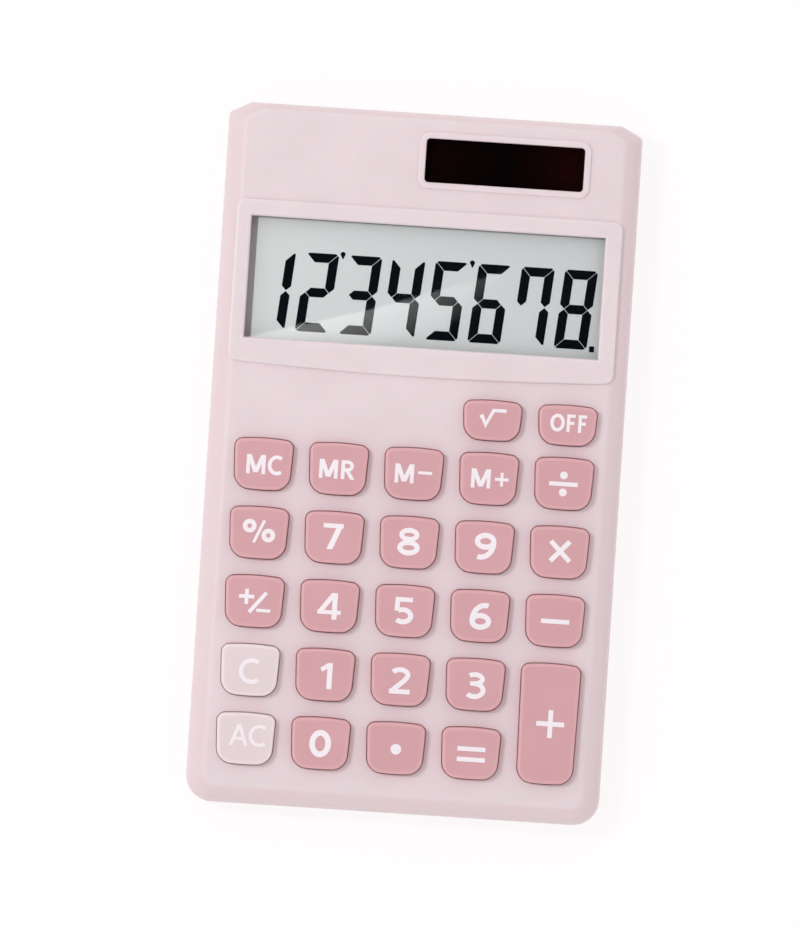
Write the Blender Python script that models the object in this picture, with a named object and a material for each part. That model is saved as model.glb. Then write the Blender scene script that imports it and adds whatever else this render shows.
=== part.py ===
"""Pocket calculator: a two-part moulded case, a display behind a clear window, a solar cell,
a button cell, one circuit board and 26 sprung keys.

The calculator lies on its back. +X runs to the right across the keys, +Y runs towards the
display end and +Z points out of the key face, with Z = 0 under the rubber feet. All lengths
below are in millimetres, and MM turns them into metres where a mesh is made.
"""

import math

import bmesh
import bpy
from mathutils import Matrix, Vector

MM = 0.001

# Overall case
CASE_WIDTH = 70.0
CASE_LENGTH = 118.4
BOTTOM_CORNER_RADIUS = 4.5
TOP_CLIP_X = 3.6
TOP_CLIP_Y = 1.9
TOP_CLIP_RADIUS = 1.0
WALL = 1.5
CLEARANCE = 0.3
# How far a joined solid reaches into its neighbour, and a cutter past the face it cuts
OVERLAP = 0.4
OVERSHOOT = 0.5
SMALL_SIDES = 12
LARGE_SIDES = 20

# Heights, from the feet up
FLOOR_BOTTOM = 0.5
FLOOR_TOP = 1.9
REAR_RIM = 4.7
FRONT_RIM = 5.0
LAP_TOP = 5.5
LAP_INSET = 0.9
SIDE_WALL_TOP = 6.8
SHOULDER_INSET = 2.9
PLATE_BOTTOM = 8.0
PLATE_TOP = 9.4
BEZEL_TOP = 10.0
BOARD_BOTTOM = 3.2
BOARD_TOP = 4.4
MAT_BOTTOM = 4.7
MAT_TOP = 5.3
DOME_TOP = 6.6
DOME_SIDES = 8
KEY_FLANGE_BOTTOM = 6.9
KEY_FLANGE_TOP = 7.7
KEY_TOP = 11.2

# The soft band between the side walls and the flat key face: (share of the band, height)
BAND_SIDE = 3.4
BAND_BOTTOM = 3.3
BAND_TOP = 1.3
BAND_PROFILE = ((0.0, FRONT_RIM), (0.04, 6.8), (0.18, 7.9), (0.5, 8.85), (1.0, PLATE_TOP))
# The rear case's outer profile: (inset, height)
REAR_PROFILE = ((1.9, FLOOR_BOTTOM), (0.9, 0.8), (0.3, 1.7), (0.0, 3.0), (0.0, REAR_RIM))

# Keys
KEY_PITCH_X = 12.7
KEY_PITCH_Y = 11.6
KEY_WIDTH = 10.0
KEY_TAPER = 0.35
KEY_HEIGHT = 8.35
SMALL_KEY_HEIGHT = 6.35
KEY_CORNER_TOP = 1.1
KEY_CORNER_BOTTOM = 2.3
KEY_CORNER_STEPS = 2
KEY_BULGE_TOP = 0.35
KEY_BULGE_BOTTOM = 0.3
KEY_BEVEL = 0.35
KEY_FLANGE = 0.75
KEY_HOLE_GAP = 0.25
SMALL_ROW_Y = 8.12
FIRST_ROW_Y = -1.73

# Display
DISPLAY_CENTRE = (-0.15, 29.8)
DISPLAY_OPENING = (60.1, 20.8)
WINDOW_PANE = (62.4, 23.4, 0.8)
WINDOW_TOP = 9.15
LCD_SIZE = (63.0, 25.6, 2.0)
LCD_CENTRE_Y = 29.1
LCD_TOP = 7.7
BEZEL_HALF_WIDTH = 32.3
BEZEL_TOP_Y = 42.6
BEZEL_SIDE_Y = 15.8
BEZEL_BOW = 0.9
BEZEL_RADIUS = 1.2
BEZEL_DRAFT = 0.3
CONNECTOR_STRIP = (60.0, 1.8, 0.7)
CONNECTOR_STRIP_Y = 17.6
CONNECTOR_STRIP_TOP = 5.4
PANE_CORNER_RADIUS = 0.3
PANE_CORNER_STEPS = 2

# Solar cell
SOLAR_CENTRE = (11.99, 51.29)
SOLAR_OPENING = (27.3, 7.9)
SOLAR_OPENING_RADIUS = 0.9
SOLAR_RIM_RADIUS = 1.6
SOLAR_RIM_DRAFT = 0.2
SOLAR_RIM_WIDTH = 0.75
SOLAR_RIM_TOP = 9.75
SOLAR_PANE = (28.9, 9.5, 0.8)
SOLAR_PANE_TOP = 8.7
SOLAR_CELL = (28.5, 9.1, 1.1)
SOLAR_CELL_TOP = 7.6
CELL_RAIL_HALF_LENGTH = 2.5
CELL_RAIL_BOTTOM = 6.4
RAIL_WIDTH = 0.9
WIRE_RADIUS = 0.35
WIRE_POINTS = 9
WIRE_START = (49.5, 5.8)
WIRE_END = (39.5, 5.08)
WIRE_LEAN = 1.5

# Button cell and its sliding cover
BATTERY_CENTRE = (-16.0, 49.7)
BATTERY_RADIUS = 5.8
BATTERY_BOTTOM = 1.8
BATTERY_THICKNESS = 3.05
COVER_HALF_WIDTH = 8.2
TONGUE_HALF_WIDTH = 9.3
COVER_INNER_HALF_WIDTH = 7.0
COVER_END_Y = 43.3
COVER_THICKNESS = 1.0
TONGUE_BOTTOM = 2.2
TONGUE_TOP = 2.9
COVER_WALL_INSIDE_Y = 57.6
GRIP_GROOVES = 3
GRIP_FIRST_Y = 53.2
GRIP_PITCH = 1.4
GRIP_HALF_LENGTH = 3.5
GRIP_DEPTH = 0.3
BATTERY_WALL = (9.9, 10.7)
BATTERY_WALL_END_Y = 57.0
CELL_SIDES = 28
LEAF = 0.3
CONTACT_TAB_Y = (38.6, 42.6)
CONTACT_END_Y = 51.5
CONTACT_HALF_WIDTH = 1.6
CONTACT_TAB_WIDTH = 2.6
CONTACT_LIFT = 0.15

# Circuit board, fasteners and feet
BOARD_HALF_WIDTH = 32.4
BOARD_TOP_Y = 41.9
CHIP_CENTRE = (12.0, 6.0)
MAT_HALF_WIDTH = 31.5
MAT_Y = (-52.0, 12.4)
DOME_RADIUS = 3.2
DOME_TOP_RADIUS = 2.2
DOME_HOLLOW_RADIUS = 2.5
DOME_HOLLOW_TOP_RADIUS = 1.6
MAT_HOLE_RADIUS = 1.9
BOARD_BOTTOM_Y = -52.3
CASE_SCREWS = ((-30.0, 50.2), (30.0, 50.2), (-19.05, -55.3), (19.05, -55.3))
BOARD_SCREWS = ((-27.0, 9.7), (-5.0, 9.7), (-19.05, -42.5), (6.35, -42.5))
CASE_BOSS_RADIUS = 2.1
CASE_PILLAR_RADIUS = 2.6
CASE_HOLE_RADIUS = 1.2
BOARD_BOSS_RADIUS = 1.4
BOARD_HOLE_RADIUS = 0.85
BOSS_HOLE_TOP = 7.5
COUNTERBORE_RADIUS = 2.0
COUNTERBORE_TOP = 2.4
REAR_RIBS_Y = (-30.8, -19.3)
RIB_HALF_LENGTH = 31.0
RIB_HALF_WIDTH = 0.4
FEET = ((-26.0, 36.5), (26.0, 36.5), (-26.0, -47.0), (26.0, -47.0))
FOOT_RADIUS = 3.5
FOOT_THICKNESS = 1.0

KEY_ROWS = (
    (None, None, None, "key_square_root", "key_off"),
    ("key_memory_clear", "key_memory_recall", "key_memory_minus", "key_memory_plus", "key_divide"),
    ("key_percent", "key_7", "key_8", "key_9", "key_multiply"),
    ("key_change_sign", "key_4", "key_5", "key_6", "key_minus"),
    ("key_clear", "key_1", "key_2", "key_3", None),
    ("key_all_clear", "key_0", "key_decimal", "key_equals", None),
)
PALE_KEYS = ("key_clear", "key_all_clear")


# Outlines: lists of (x, y), counter-clockwise seen from above

def shifted_corners(corners, insets):
    """Corners of a convex outline after edge i, from corner i to the next, moves in by insets[i]."""
    edges = []
    for here, inset in enumerate(insets):
        start = Vector(corners[here])
        along = (Vector(corners[(here + 1) % len(corners)]) - start).normalized()
        inwards = Vector((-along.y, along.x))
        edges.append((start + inwards * inset, along))
    moved = []
    for here in range(len(edges)):
        (point, along), (other, other_along) = edges[here - 1], edges[here]
        across = along.x * other_along.y - along.y * other_along.x
        gap = other - point
        reach = (gap.x * other_along.y - gap.y * other_along.x) / across
        moved.append(tuple(point + along * reach))
    return moved


def rounded_outline(corners, radii, steps):
    """A convex outline with each corner turned into a tangent arc of `steps` segments."""
    outline = []
    for here, corner in enumerate(corners):
        corner = Vector(corner)
        back = (Vector(corners[here - 1]) - corner).normalized()
        ahead = (Vector(corners[(here + 1) % len(corners)]) - corner).normalized()
        half_angle = back.angle(ahead) / 2
        centre = corner + (back + ahead).normalized() * (radii[here] / math.sin(half_angle))
        tangent = radii[here] / math.tan(half_angle)
        first = corner + back * tangent - centre
        sweep = math.pi - 2 * half_angle
        for step in range(steps + 1):
            turned = Matrix.Rotation(sweep * step / steps, 2) @ first
            outline.append(tuple(centre + turned))
    return outline


def rectangle(centre, size, radius=None, steps=3):
    """A rectangle's outline, with round corners where a radius is given."""
    x, y = centre
    half_x, half_y = size[0] / 2, size[1] / 2
    corners = [(x + half_x, y - half_y), (x + half_x, y + half_y),
               (x - half_x, y + half_y), (x - half_x, y - half_y)]
    return rounded_outline(corners, [radius] * 4, steps) if radius else corners


def circle(centre, radius, sides):
    """A regular polygon's outline."""
    turns = [2 * math.pi * side / sides for side in range(sides)]
    return [(centre[0] + radius * math.cos(turn), centre[1] + radius * math.sin(turn)) for turn in turns]


def case_outline(side, bottom, top):
    """The case's outline, moved in by a distance at its sides, its bottom and its top end."""
    half_x, half_y = CASE_WIDTH / 2, CASE_LENGTH / 2
    corners = [(half_x, -half_y), (half_x, half_y - TOP_CLIP_Y), (half_x - TOP_CLIP_X, half_y),
               (TOP_CLIP_X - half_x, half_y), (-half_x, half_y - TOP_CLIP_Y), (-half_x, -half_y)]
    clip = (side + top) / 2
    inset_corners = shifted_corners(corners, (side, clip, top, clip, side, bottom))
    bottom_radius = max(BOTTOM_CORNER_RADIUS - 0.7 * side, 1.0)
    radii = (bottom_radius, *[TOP_CLIP_RADIUS] * 4, bottom_radius)
    return rounded_outline(inset_corners, radii, 4)


def key_outline(height, grow):
    """A key's outline: a taper towards the user, and ends that bow outwards."""
    half_top = KEY_WIDTH / 2 + grow
    half_bottom = half_top - KEY_TAPER
    half_height = height / 2 + grow
    corners = [(half_bottom, -half_height), (half_top, half_height),
               (-half_top, half_height), (-half_bottom, -half_height)]
    radii = (KEY_CORNER_BOTTOM + grow, KEY_CORNER_TOP + grow, KEY_CORNER_TOP + grow,
             KEY_CORNER_BOTTOM + grow)
    outline = rounded_outline(corners, radii, KEY_CORNER_STEPS)
    outline.insert(2 * (KEY_CORNER_STEPS + 1), (0.0, half_height))
    outline.append((0.0, -half_height))
    bowed = []
    for x, y in outline:
        bow = KEY_BULGE_TOP if y > 0 else -KEY_BULGE_BOTTOM
        reach = abs(y) / half_height
        bowed.append((x, y + bow * (1 - (x / half_top) ** 2) * reach ** 4 - bow / 2))
    return bowed


def bezel_outline(grow):
    """The raised display surround, whose lower edge bows towards the keys."""
    half = BEZEL_HALF_WIDTH + grow
    top, side = BEZEL_TOP_Y + grow, BEZEL_SIDE_Y - grow
    corners = [(half, side), (half, top), (-half, top), (-half, side)]
    outline = rounded_outline(corners, [BEZEL_RADIUS + grow] * 4, 3)
    for share in (-0.75, -0.5, -0.25, 0.0, 0.25, 0.5, 0.75):
        outline.append((half * share, side - BEZEL_BOW * (1 - share ** 2)))
    return outline


# Meshes

def at_height(outline, z):
    """An outline as a ring of points at height z."""
    return [(x, y, z) for x, y in outline]


def loft(rings, mesh=None):
    """A closed solid through rings of equal length, listed from the bottom up."""
    mesh = mesh or bmesh.new()
    loops = [[mesh.verts.new(Vector(point) * MM) for point in ring] for ring in rings]
    for lower, upper in zip(loops, loops[1:]):
        for here in range(len(lower)):
            after = (here + 1) % len(lower)
            mesh.faces.new((lower[here], lower[after], upper[after], upper[here]))
    mesh.faces.new(reversed(loops[0]))
    mesh.faces.new(loops[-1])
    return mesh


def prism(outline, bottom, top, mesh=None):
    """An outline pushed up from one height to another."""
    return loft([at_height(outline, bottom), at_height(outline, top)], mesh)


def box(x, y, z, mesh=None):
    """A box from (low, high) pairs along the three axes."""
    centre = ((x[0] + x[1]) / 2, (y[0] + y[1]) / 2)
    return prism(rectangle(centre, (x[1] - x[0], y[1] - y[0])), z[0], z[1], mesh)


def linear(channel):
    """One sRGB channel, from 0 to 255, as a linear value."""
    share = channel / 255
    return share / 12.92 if share <= 0.04045 else ((share + 0.055) / 1.055) ** 2.4


def finish_material(name, colour, roughness, metallic=0.0):
    """A material of one sRGB colour, made once."""
    surface = bpy.data.materials.get(name) or bpy.data.materials.new(name)
    surface.use_nodes = True
    surface.diffuse_color = (*[linear(channel) for channel in colour], 1.0)
    shader = surface.node_tree.nodes["Principled BSDF"]
    shader.inputs["Base Color"].default_value = surface.diffuse_color
    shader.inputs["Roughness"].default_value = roughness
    shader.inputs["Metallic"].default_value = metallic
    return surface


def make_object(name, mesh, surface, place=(0.0, 0.0, 0.0)):
    """An object from a bmesh, at a place in millimetres."""
    data = bpy.data.meshes.new(name)
    mesh.to_mesh(data)
    mesh.free()
    data.materials.append(surface)
    data.shade_smooth()
    data.set_sharp_from_angle(angle=math.radians(35))
    made = bpy.data.objects.new(name, data)
    made.location = Vector(place) * MM
    bpy.context.scene.collection.objects.link(made)
    return made


def combine(target, operation, mesh):
    """Union or difference of an object with a hidden helper solid, or several that don't touch."""
    helper = make_object(f"{target.name}_{operation.lower()}_{len(target.modifiers)}", mesh,
                         target.data.materials[0])
    helper.hide_render = True
    helper.display_type = "WIRE"
    helper.hide_set(True)
    boolean = target.modifiers.new(operation.title(), "BOOLEAN")
    boolean.operation = operation
    boolean.solver = "EXACT"
    boolean.object = helper


# Finishes

CASE_PINK = finish_material("case_pink", (231, 216, 221), 0.45)
KEY_ROSE = finish_material("key_rose", (214, 164, 171), 0.5)
KEY_PALE = finish_material("key_pale", (231, 212, 214), 0.5)
CLEAR = finish_material("clear_acrylic", (226, 230, 230), 0.1)
LCD_GREY = finish_material("lcd_glass", (200, 201, 203), 0.3)
SOLAR_BLACK = finish_material("solar_black", (18, 8, 10), 0.15)
BOARD_GREEN = finish_material("board_green", (28, 92, 58), 0.5)
EPOXY_BLACK = finish_material("epoxy_black", (22, 22, 24), 0.4)
SILICONE = finish_material("silicone", (222, 222, 216), 0.6)
RUBBER = finish_material("grey_rubber", (88, 84, 86), 0.8)
STEEL = finish_material("steel", (190, 190, 194), 0.3, 1.0)
CERAMIC = finish_material("ceramic", (176, 150, 118), 0.5)
WIRE_RED = finish_material("wire_red", (178, 30, 34), 0.45)
WIRE_BLACK = finish_material("wire_black", (26, 26, 28), 0.45)


def key_places():
    """Each key's name, centre and height, row by row from the display down."""
    for row, names in enumerate(KEY_ROWS):
        y = SMALL_ROW_Y if row == 0 else FIRST_ROW_Y - (row - 1) * KEY_PITCH_Y
        height = SMALL_KEY_HEIGHT if row == 0 else KEY_HEIGHT
        for column, name in enumerate(names):
            if name:
                yield name, ((column - 2) * KEY_PITCH_X, y), height
    last_row_y = FIRST_ROW_Y - 4 * KEY_PITCH_Y
    yield "key_plus", (2 * KEY_PITCH_X, last_row_y + KEY_PITCH_Y / 2), KEY_HEIGHT + KEY_PITCH_Y


def moved(outline, centre):
    """An outline carried to a centre."""
    return [(x + centre[0], y + centre[1]) for x, y in outline]


def battery_x(low, high):
    """Two distances along X from the button cell's centre, as X values."""
    return BATTERY_CENTRE[0] + low, BATTERY_CENTRE[0] + high


def battery_y(low, high):
    """Two distances along Y from the button cell's centre, as Y values."""
    return BATTERY_CENTRE[1] + low, BATTERY_CENTRE[1] + high


def make_front_case():
    """Upper shell: sloping band, raised display and solar surrounds, openings and bosses."""
    rings = []
    for share, z in BAND_PROFILE:
        outline = case_outline(BAND_SIDE * share, BAND_BOTTOM * share, BAND_TOP * share)
        rings.append(at_height(outline, z))
    front = make_object("front_case", loft(rings), CASE_PINK)

    raised = loft([at_height(bezel_outline(BEZEL_DRAFT + 0.1), PLATE_TOP - 1.0),
                   at_height(bezel_outline(BEZEL_DRAFT), PLATE_TOP),
                   at_height(bezel_outline(0.0), BEZEL_TOP)])
    combine(front, "UNION", raised)
    rim_rings = []
    for draft, z in ((1.5 * SOLAR_RIM_DRAFT, PLATE_TOP - 0.5), (SOLAR_RIM_DRAFT, PLATE_TOP),
                     (0.0, SOLAR_RIM_TOP)):
        rim_size = [side + 2 * (SOLAR_RIM_WIDTH + draft) for side in SOLAR_OPENING]
        rim_rings.append(at_height(rectangle(SOLAR_CENTRE, rim_size, SOLAR_RIM_RADIUS + draft), z))
    combine(front, "UNION", loft(rim_rings))

    skirt = LAP_INSET - CLEARANCE
    inside = [at_height(case_outline(side, bottom, top), z) for side, bottom, top, z in (
        (skirt, skirt, skirt, FRONT_RIM - 1.0),
        (skirt, skirt, skirt, LAP_TOP + CLEARANCE),
        (WALL, WALL, WALL, LAP_TOP + CLEARANCE),
        (WALL + 0.2, WALL + 0.2, WALL, SIDE_WALL_TOP),
        (SHOULDER_INSET, SHOULDER_INSET, WALL + 0.5, PLATE_BOTTOM),
    )]
    combine(front, "DIFFERENCE", loft(inside))

    bosses = bmesh.new()
    into_plate = PLATE_BOTTOM + OVERLAP
    for centre in CASE_SCREWS:
        prism(circle(centre, CASE_BOSS_RADIUS, SMALL_SIDES), FRONT_RIM, into_plate, bosses)
    for centre in BOARD_SCREWS:
        prism(circle(centre, BOARD_BOSS_RADIUS, SMALL_SIDES), BOARD_TOP + CLEARANCE, into_plate, bosses)
    rail_y = (SOLAR_CENTRE[1] - CELL_RAIL_HALF_LENGTH, SOLAR_CENTRE[1] + CELL_RAIL_HALF_LENGTH)
    cell_left = SOLAR_CENTRE[0] - SOLAR_CELL[0] / 2 - CLEARANCE
    cell_right = SOLAR_CENTRE[0] + SOLAR_CELL[0] / 2 + CLEARANCE
    for x in ((cell_left - RAIL_WIDTH, cell_left), (cell_right, cell_right + RAIL_WIDTH)):
        box(x, rail_y, (CELL_RAIL_BOTTOM, into_plate), bosses)
    post_z = (TONGUE_TOP + CLEARANCE + 0.1, into_plate)
    reach = BATTERY_RADIUS + CLEARANCE
    beside_contact = reach + 2 * LEAF
    for x, y in (((-reach - RAIL_WIDTH, -reach), (-1.5, 1.5)),
                 ((beside_contact, beside_contact + RAIL_WIDTH), (-1.5, 1.5)),
                 ((-2.0, 2.0), (reach, reach + RAIL_WIDTH))):
        box(battery_x(*x), battery_y(*y), post_z, bosses)
    combine(front, "UNION", bosses)

    openings = bmesh.new()
    for _, centre, height in key_places():
        hole = moved(key_outline(height, KEY_HOLE_GAP), centre)
        prism(hole, PLATE_BOTTOM - OVERSHOOT, PLATE_TOP + OVERSHOOT, openings)
    window_seat_top = WINDOW_TOP + CLEARANCE
    solar_seat_top = SOLAR_PANE_TOP + CLEARANCE
    display_opening = rectangle(DISPLAY_CENTRE, DISPLAY_OPENING)
    prism(display_opening, window_seat_top - OVERLAP, BEZEL_TOP + OVERSHOOT, openings)
    solar_opening = rectangle(SOLAR_CENTRE, SOLAR_OPENING, SOLAR_OPENING_RADIUS)
    prism(solar_opening, solar_seat_top - OVERLAP, SOLAR_RIM_TOP + OVERSHOOT, openings)
    for centre in CASE_SCREWS:
        prism(circle(centre, CASE_HOLE_RADIUS, SMALL_SIDES), FRONT_RIM - OVERSHOOT, BOSS_HOLE_TOP, openings)
    for centre in BOARD_SCREWS:
        hole = circle(centre, BOARD_HOLE_RADIUS, SMALL_SIDES)
        prism(hole, BOARD_TOP - OVERSHOOT, BOSS_HOLE_TOP, openings)
    combine(front, "DIFFERENCE", openings)

    seats = bmesh.new()
    for centre, pane, top in ((DISPLAY_CENTRE, WINDOW_PANE, window_seat_top),
                              (SOLAR_CENTRE, SOLAR_PANE, solar_seat_top)):
        seat = [side + 2 * CLEARANCE for side in pane[:2]]
        prism(rectangle(centre, seat), PLATE_BOTTOM - OVERSHOOT, top, seats)
    combine(front, "DIFFERENCE", seats)


def rear_outer():
    """The rear case's outer form, without its hollow."""
    return loft([at_height(case_outline(inset, inset, inset), z) for inset, z in REAR_PROFILE])


def make_rear_case():
    """Lower shell: pillars, ribs, a wall round the button cell and the cover's slot."""
    rear = make_object("rear_case", rear_outer(), CASE_PINK)
    lap = case_outline(LAP_INSET, LAP_INSET, LAP_INSET)
    combine(rear, "UNION", prism(lap, REAR_RIM - 1.0, LAP_TOP))
    combine(rear, "DIFFERENCE", prism(case_outline(WALL, WALL, WALL), FLOOR_TOP, LAP_TOP + 1.0))

    inner = bmesh.new()
    for centre in CASE_SCREWS:
        prism(circle(centre, CASE_PILLAR_RADIUS, SMALL_SIDES), FLOOR_TOP - OVERLAP, REAR_RIM, inner)
    for y in REAR_RIBS_Y:
        rib_y = (y - RIB_HALF_WIDTH, y + RIB_HALF_WIDTH)
        rib_z = (FLOOR_TOP - OVERLAP, BOARD_BOTTOM - CLEARANCE)
        box((-RIB_HALF_LENGTH, RIB_HALF_LENGTH), rib_y, rib_z, inner)
    wall_y = (BOARD_TOP_Y + CLEARANCE, BATTERY_WALL_END_Y)
    wall_z = (FLOOR_TOP - OVERLAP, BOARD_TOP - 0.1)
    near, far = BATTERY_WALL
    for x in ((-far, -near), (near, far)):
        box(battery_x(*x), wall_y, wall_z, inner)
    combine(rear, "UNION", inner)
    end_wall_y = (BOARD_TOP_Y + CLEARANCE, COVER_END_Y - CLEARANCE)
    middle = (near + far) / 2
    combine(rear, "UNION", box(battery_x(-middle, middle), end_wall_y, wall_z))

    cuts = bmesh.new()
    for centre in CASE_SCREWS:
        counterbore = circle(centre, COUNTERBORE_RADIUS, SMALL_SIDES)
        hole = circle(centre, CASE_HOLE_RADIUS, SMALL_SIDES)
        loft([at_height(counterbore, FLOOR_BOTTOM - OVERSHOOT), at_height(counterbore, COUNTERBORE_TOP),
              at_height(hole, COUNTERBORE_TOP), at_height(hole, REAR_RIM + OVERSHOOT)], cuts)
    for centre in FEET:
        pocket = circle(centre, FOOT_RADIUS + CLEARANCE, LARGE_SIDES)
        prism(pocket, FLOOR_BOTTOM - OVERSHOOT, FOOT_THICKNESS + CLEARANCE, cuts)
    slot_y = (COVER_END_Y - CLEARANCE, CASE_LENGTH / 2 + OVERSHOOT)
    half = COVER_HALF_WIDTH + CLEARANCE
    tongue_half = TONGUE_HALF_WIDTH + CLEARANCE
    profile = [(half, FLOOR_BOTTOM - OVERSHOOT), (half, TONGUE_BOTTOM - CLEARANCE),
               (tongue_half, TONGUE_BOTTOM - CLEARANCE), (tongue_half, TONGUE_TOP + CLEARANCE)]
    profile += [(-x, z) for x, z in reversed(profile)]
    loft([[(BATTERY_CENTRE[0] + x, y, z) for x, z in profile] for y in reversed(slot_y)], cuts)
    combine(rear, "DIFFERENCE", cuts)


def make_battery_cover():
    """Sliding cover: the case's own outer form between two tongues that run in the slot."""
    cover = make_object("battery_cover", rear_outer(), CASE_PINK)
    profile = [(COVER_HALF_WIDTH, 0.0), (COVER_HALF_WIDTH, TONGUE_BOTTOM),
               (TONGUE_HALF_WIDTH, TONGUE_BOTTOM), (TONGUE_HALF_WIDTH, TONGUE_TOP)]
    profile += [(-x, z) for x, z in reversed(profile)]
    slide = [[(BATTERY_CENTRE[0] + x, y, z) for x, z in profile] for y in (CASE_LENGTH, COVER_END_Y)]
    combine(cover, "INTERSECT", loft(slide))
    hollow_x = battery_x(-COVER_INNER_HALF_WIDTH, COVER_INNER_HALF_WIDTH)
    hollow_y = (COVER_END_Y - OVERSHOOT, COVER_WALL_INSIDE_Y)
    cuts = box(hollow_x, hollow_y, (FLOOR_BOTTOM + COVER_THICKNESS, TONGUE_TOP + OVERSHOOT))
    for groove in range(GRIP_GROOVES):
        y = GRIP_FIRST_Y - GRIP_PITCH * groove
        groove_y = (y - GRIP_DEPTH, y + GRIP_DEPTH)
        groove_z = (FLOOR_BOTTOM - OVERSHOOT, FLOOR_BOTTOM + GRIP_DEPTH)
        box(battery_x(-GRIP_HALF_LENGTH, GRIP_HALF_LENGTH), groove_y, groove_z, cuts)
    combine(cover, "DIFFERENCE", cuts)


def make_keys():
    """The 26 keys: a flange held under the case's face and a cap that stands above it."""
    for name, centre, height in key_places():
        surface = KEY_PALE if name in PALE_KEYS else KEY_ROSE
        flange = key_outline(height, KEY_FLANGE)
        cap = key_outline(height, 0.0)
        mesh = loft([
            at_height(flange, KEY_FLANGE_BOTTOM), at_height(flange, KEY_FLANGE_TOP),
            at_height(cap, KEY_FLANGE_TOP), at_height(cap, KEY_TOP - 0.3),
            at_height(key_outline(height, -KEY_BEVEL), KEY_TOP),
        ])
        make_object(name, mesh, surface, (*centre, 0.0))


def make_key_mat():
    """One silicone sheet with a hollow dome under each key."""
    sheet = box((-MAT_HALF_WIDTH, MAT_HALF_WIDTH), MAT_Y, (MAT_BOTTOM, MAT_TOP))
    mat = make_object("key_mat", sheet, SILICONE)
    domes, hollows, holes = bmesh.new(), bmesh.new(), bmesh.new()
    for _, centre, _ in key_places():
        loft([at_height(circle(centre, radius, DOME_SIDES), z) for radius, z in (
            (DOME_RADIUS + 0.1, MAT_TOP - OVERLAP), (DOME_RADIUS, MAT_TOP),
            (DOME_TOP_RADIUS, DOME_TOP))], domes)
        loft([at_height(circle(centre, radius, DOME_SIDES), z) for radius, z in (
            (DOME_HOLLOW_RADIUS, MAT_BOTTOM - OVERSHOOT),
            (DOME_HOLLOW_TOP_RADIUS, DOME_TOP - 0.6))], hollows)
    for centre in BOARD_SCREWS:
        hole = circle(centre, MAT_HOLE_RADIUS, SMALL_SIDES)
        prism(hole, MAT_BOTTOM - OVERSHOOT, MAT_TOP + OVERSHOOT, holes)
    combine(mat, "UNION", domes)
    combine(mat, "DIFFERENCE", hollows)
    combine(mat, "DIFFERENCE", holes)


def make_circuit_board():
    """The single board, its covered chip and three small components on its underside."""
    y = (BOARD_BOTTOM_Y, BOARD_TOP_Y)
    blank = box((-BOARD_HALF_WIDTH, BOARD_HALF_WIDTH), y, (BOARD_BOTTOM, BOARD_TOP))
    board = make_object("circuit_board", blank, BOARD_GREEN)
    holes = bmesh.new()
    for centre in BOARD_SCREWS:
        hole = circle(centre, BOARD_HOLE_RADIUS + 0.1, SMALL_SIDES)
        prism(hole, BOARD_BOTTOM - OVERSHOOT, BOARD_TOP + OVERSHOOT, holes)
    combine(board, "DIFFERENCE", holes)

    underside = BOARD_BOTTOM - CLEARANCE
    rings = [at_height(circle(CHIP_CENTRE, radius, LARGE_SIDES), z) for radius, z in (
        (4.5, underside - 0.75), (6.2, underside - 0.5), (6.8, underside))]
    make_object("chip_cover", loft(rings), EPOXY_BLACK)
    for name, x, size, surface in (
        ("capacitor", -2.0, (3.2, 1.6, 0.7), CERAMIC),
        ("resistor", -8.0, (2.0, 1.25, 0.5), CERAMIC),
        ("diode", -14.0, (2.7, 1.6, 0.7), EPOXY_BLACK),
    ):
        outline = rectangle((x, 0.0), size[:2], 0.2, 2)
        make_object(name, prism(outline, underside - size[2], underside), surface)


def make_display():
    """The clear window, the liquid-crystal panel and the strip that joins it to the board."""
    for name, centre, size, top, surface in (
        ("display_window", DISPLAY_CENTRE, WINDOW_PANE, WINDOW_TOP, CLEAR),
        ("lcd_panel", (DISPLAY_CENTRE[0], LCD_CENTRE_Y), LCD_SIZE, LCD_TOP, LCD_GREY),
        ("lcd_connector_strip", (DISPLAY_CENTRE[0], CONNECTOR_STRIP_Y), CONNECTOR_STRIP,
         CONNECTOR_STRIP_TOP, SILICONE),
        ("solar_window", SOLAR_CENTRE, SOLAR_PANE, SOLAR_PANE_TOP, CLEAR),
        ("solar_cell", SOLAR_CENTRE, SOLAR_CELL, SOLAR_CELL_TOP, SOLAR_BLACK),
    ):
        outline = rectangle(centre, size[:2], PANE_CORNER_RADIUS, PANE_CORNER_STEPS)
        make_object(name, prism(outline, top - size[2], top), surface)


def make_solar_wires():
    """Two short leads from under the solar cell to the edge of the board."""
    for name, x, surface in (("solar_wire_red", 6.0, WIRE_RED), ("solar_wire_black", 10.0, WIRE_BLACK)):
        curve = bpy.data.curves.new(name, "CURVE")
        curve.dimensions = "3D"
        curve.bevel_depth = WIRE_RADIUS * MM
        curve.bevel_resolution = 2
        curve.render_resolution_u = 0
        curve.use_fill_caps = True
        curve.materials.append(surface)
        spline = curve.splines.new("POLY")
        start, end = Vector((x, *WIRE_START)), Vector((x + WIRE_LEAN, *WIRE_END))
        spline.points.add(WIRE_POINTS - 1)
        for place, point in enumerate(spline.points):
            share = place / (WIRE_POINTS - 1)
            eased = share * share * (3 - 2 * share)
            where = Vector((start.x + (end.x - start.x) * eased, start.y + (end.y - start.y) * share,
                            start.z + (end.z - start.z) * min(1.0, 2.0 * eased)))
            point.co = (*(where * MM), 1.0)
        bpy.context.scene.collection.objects.link(bpy.data.objects.new(name, curve))


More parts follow.
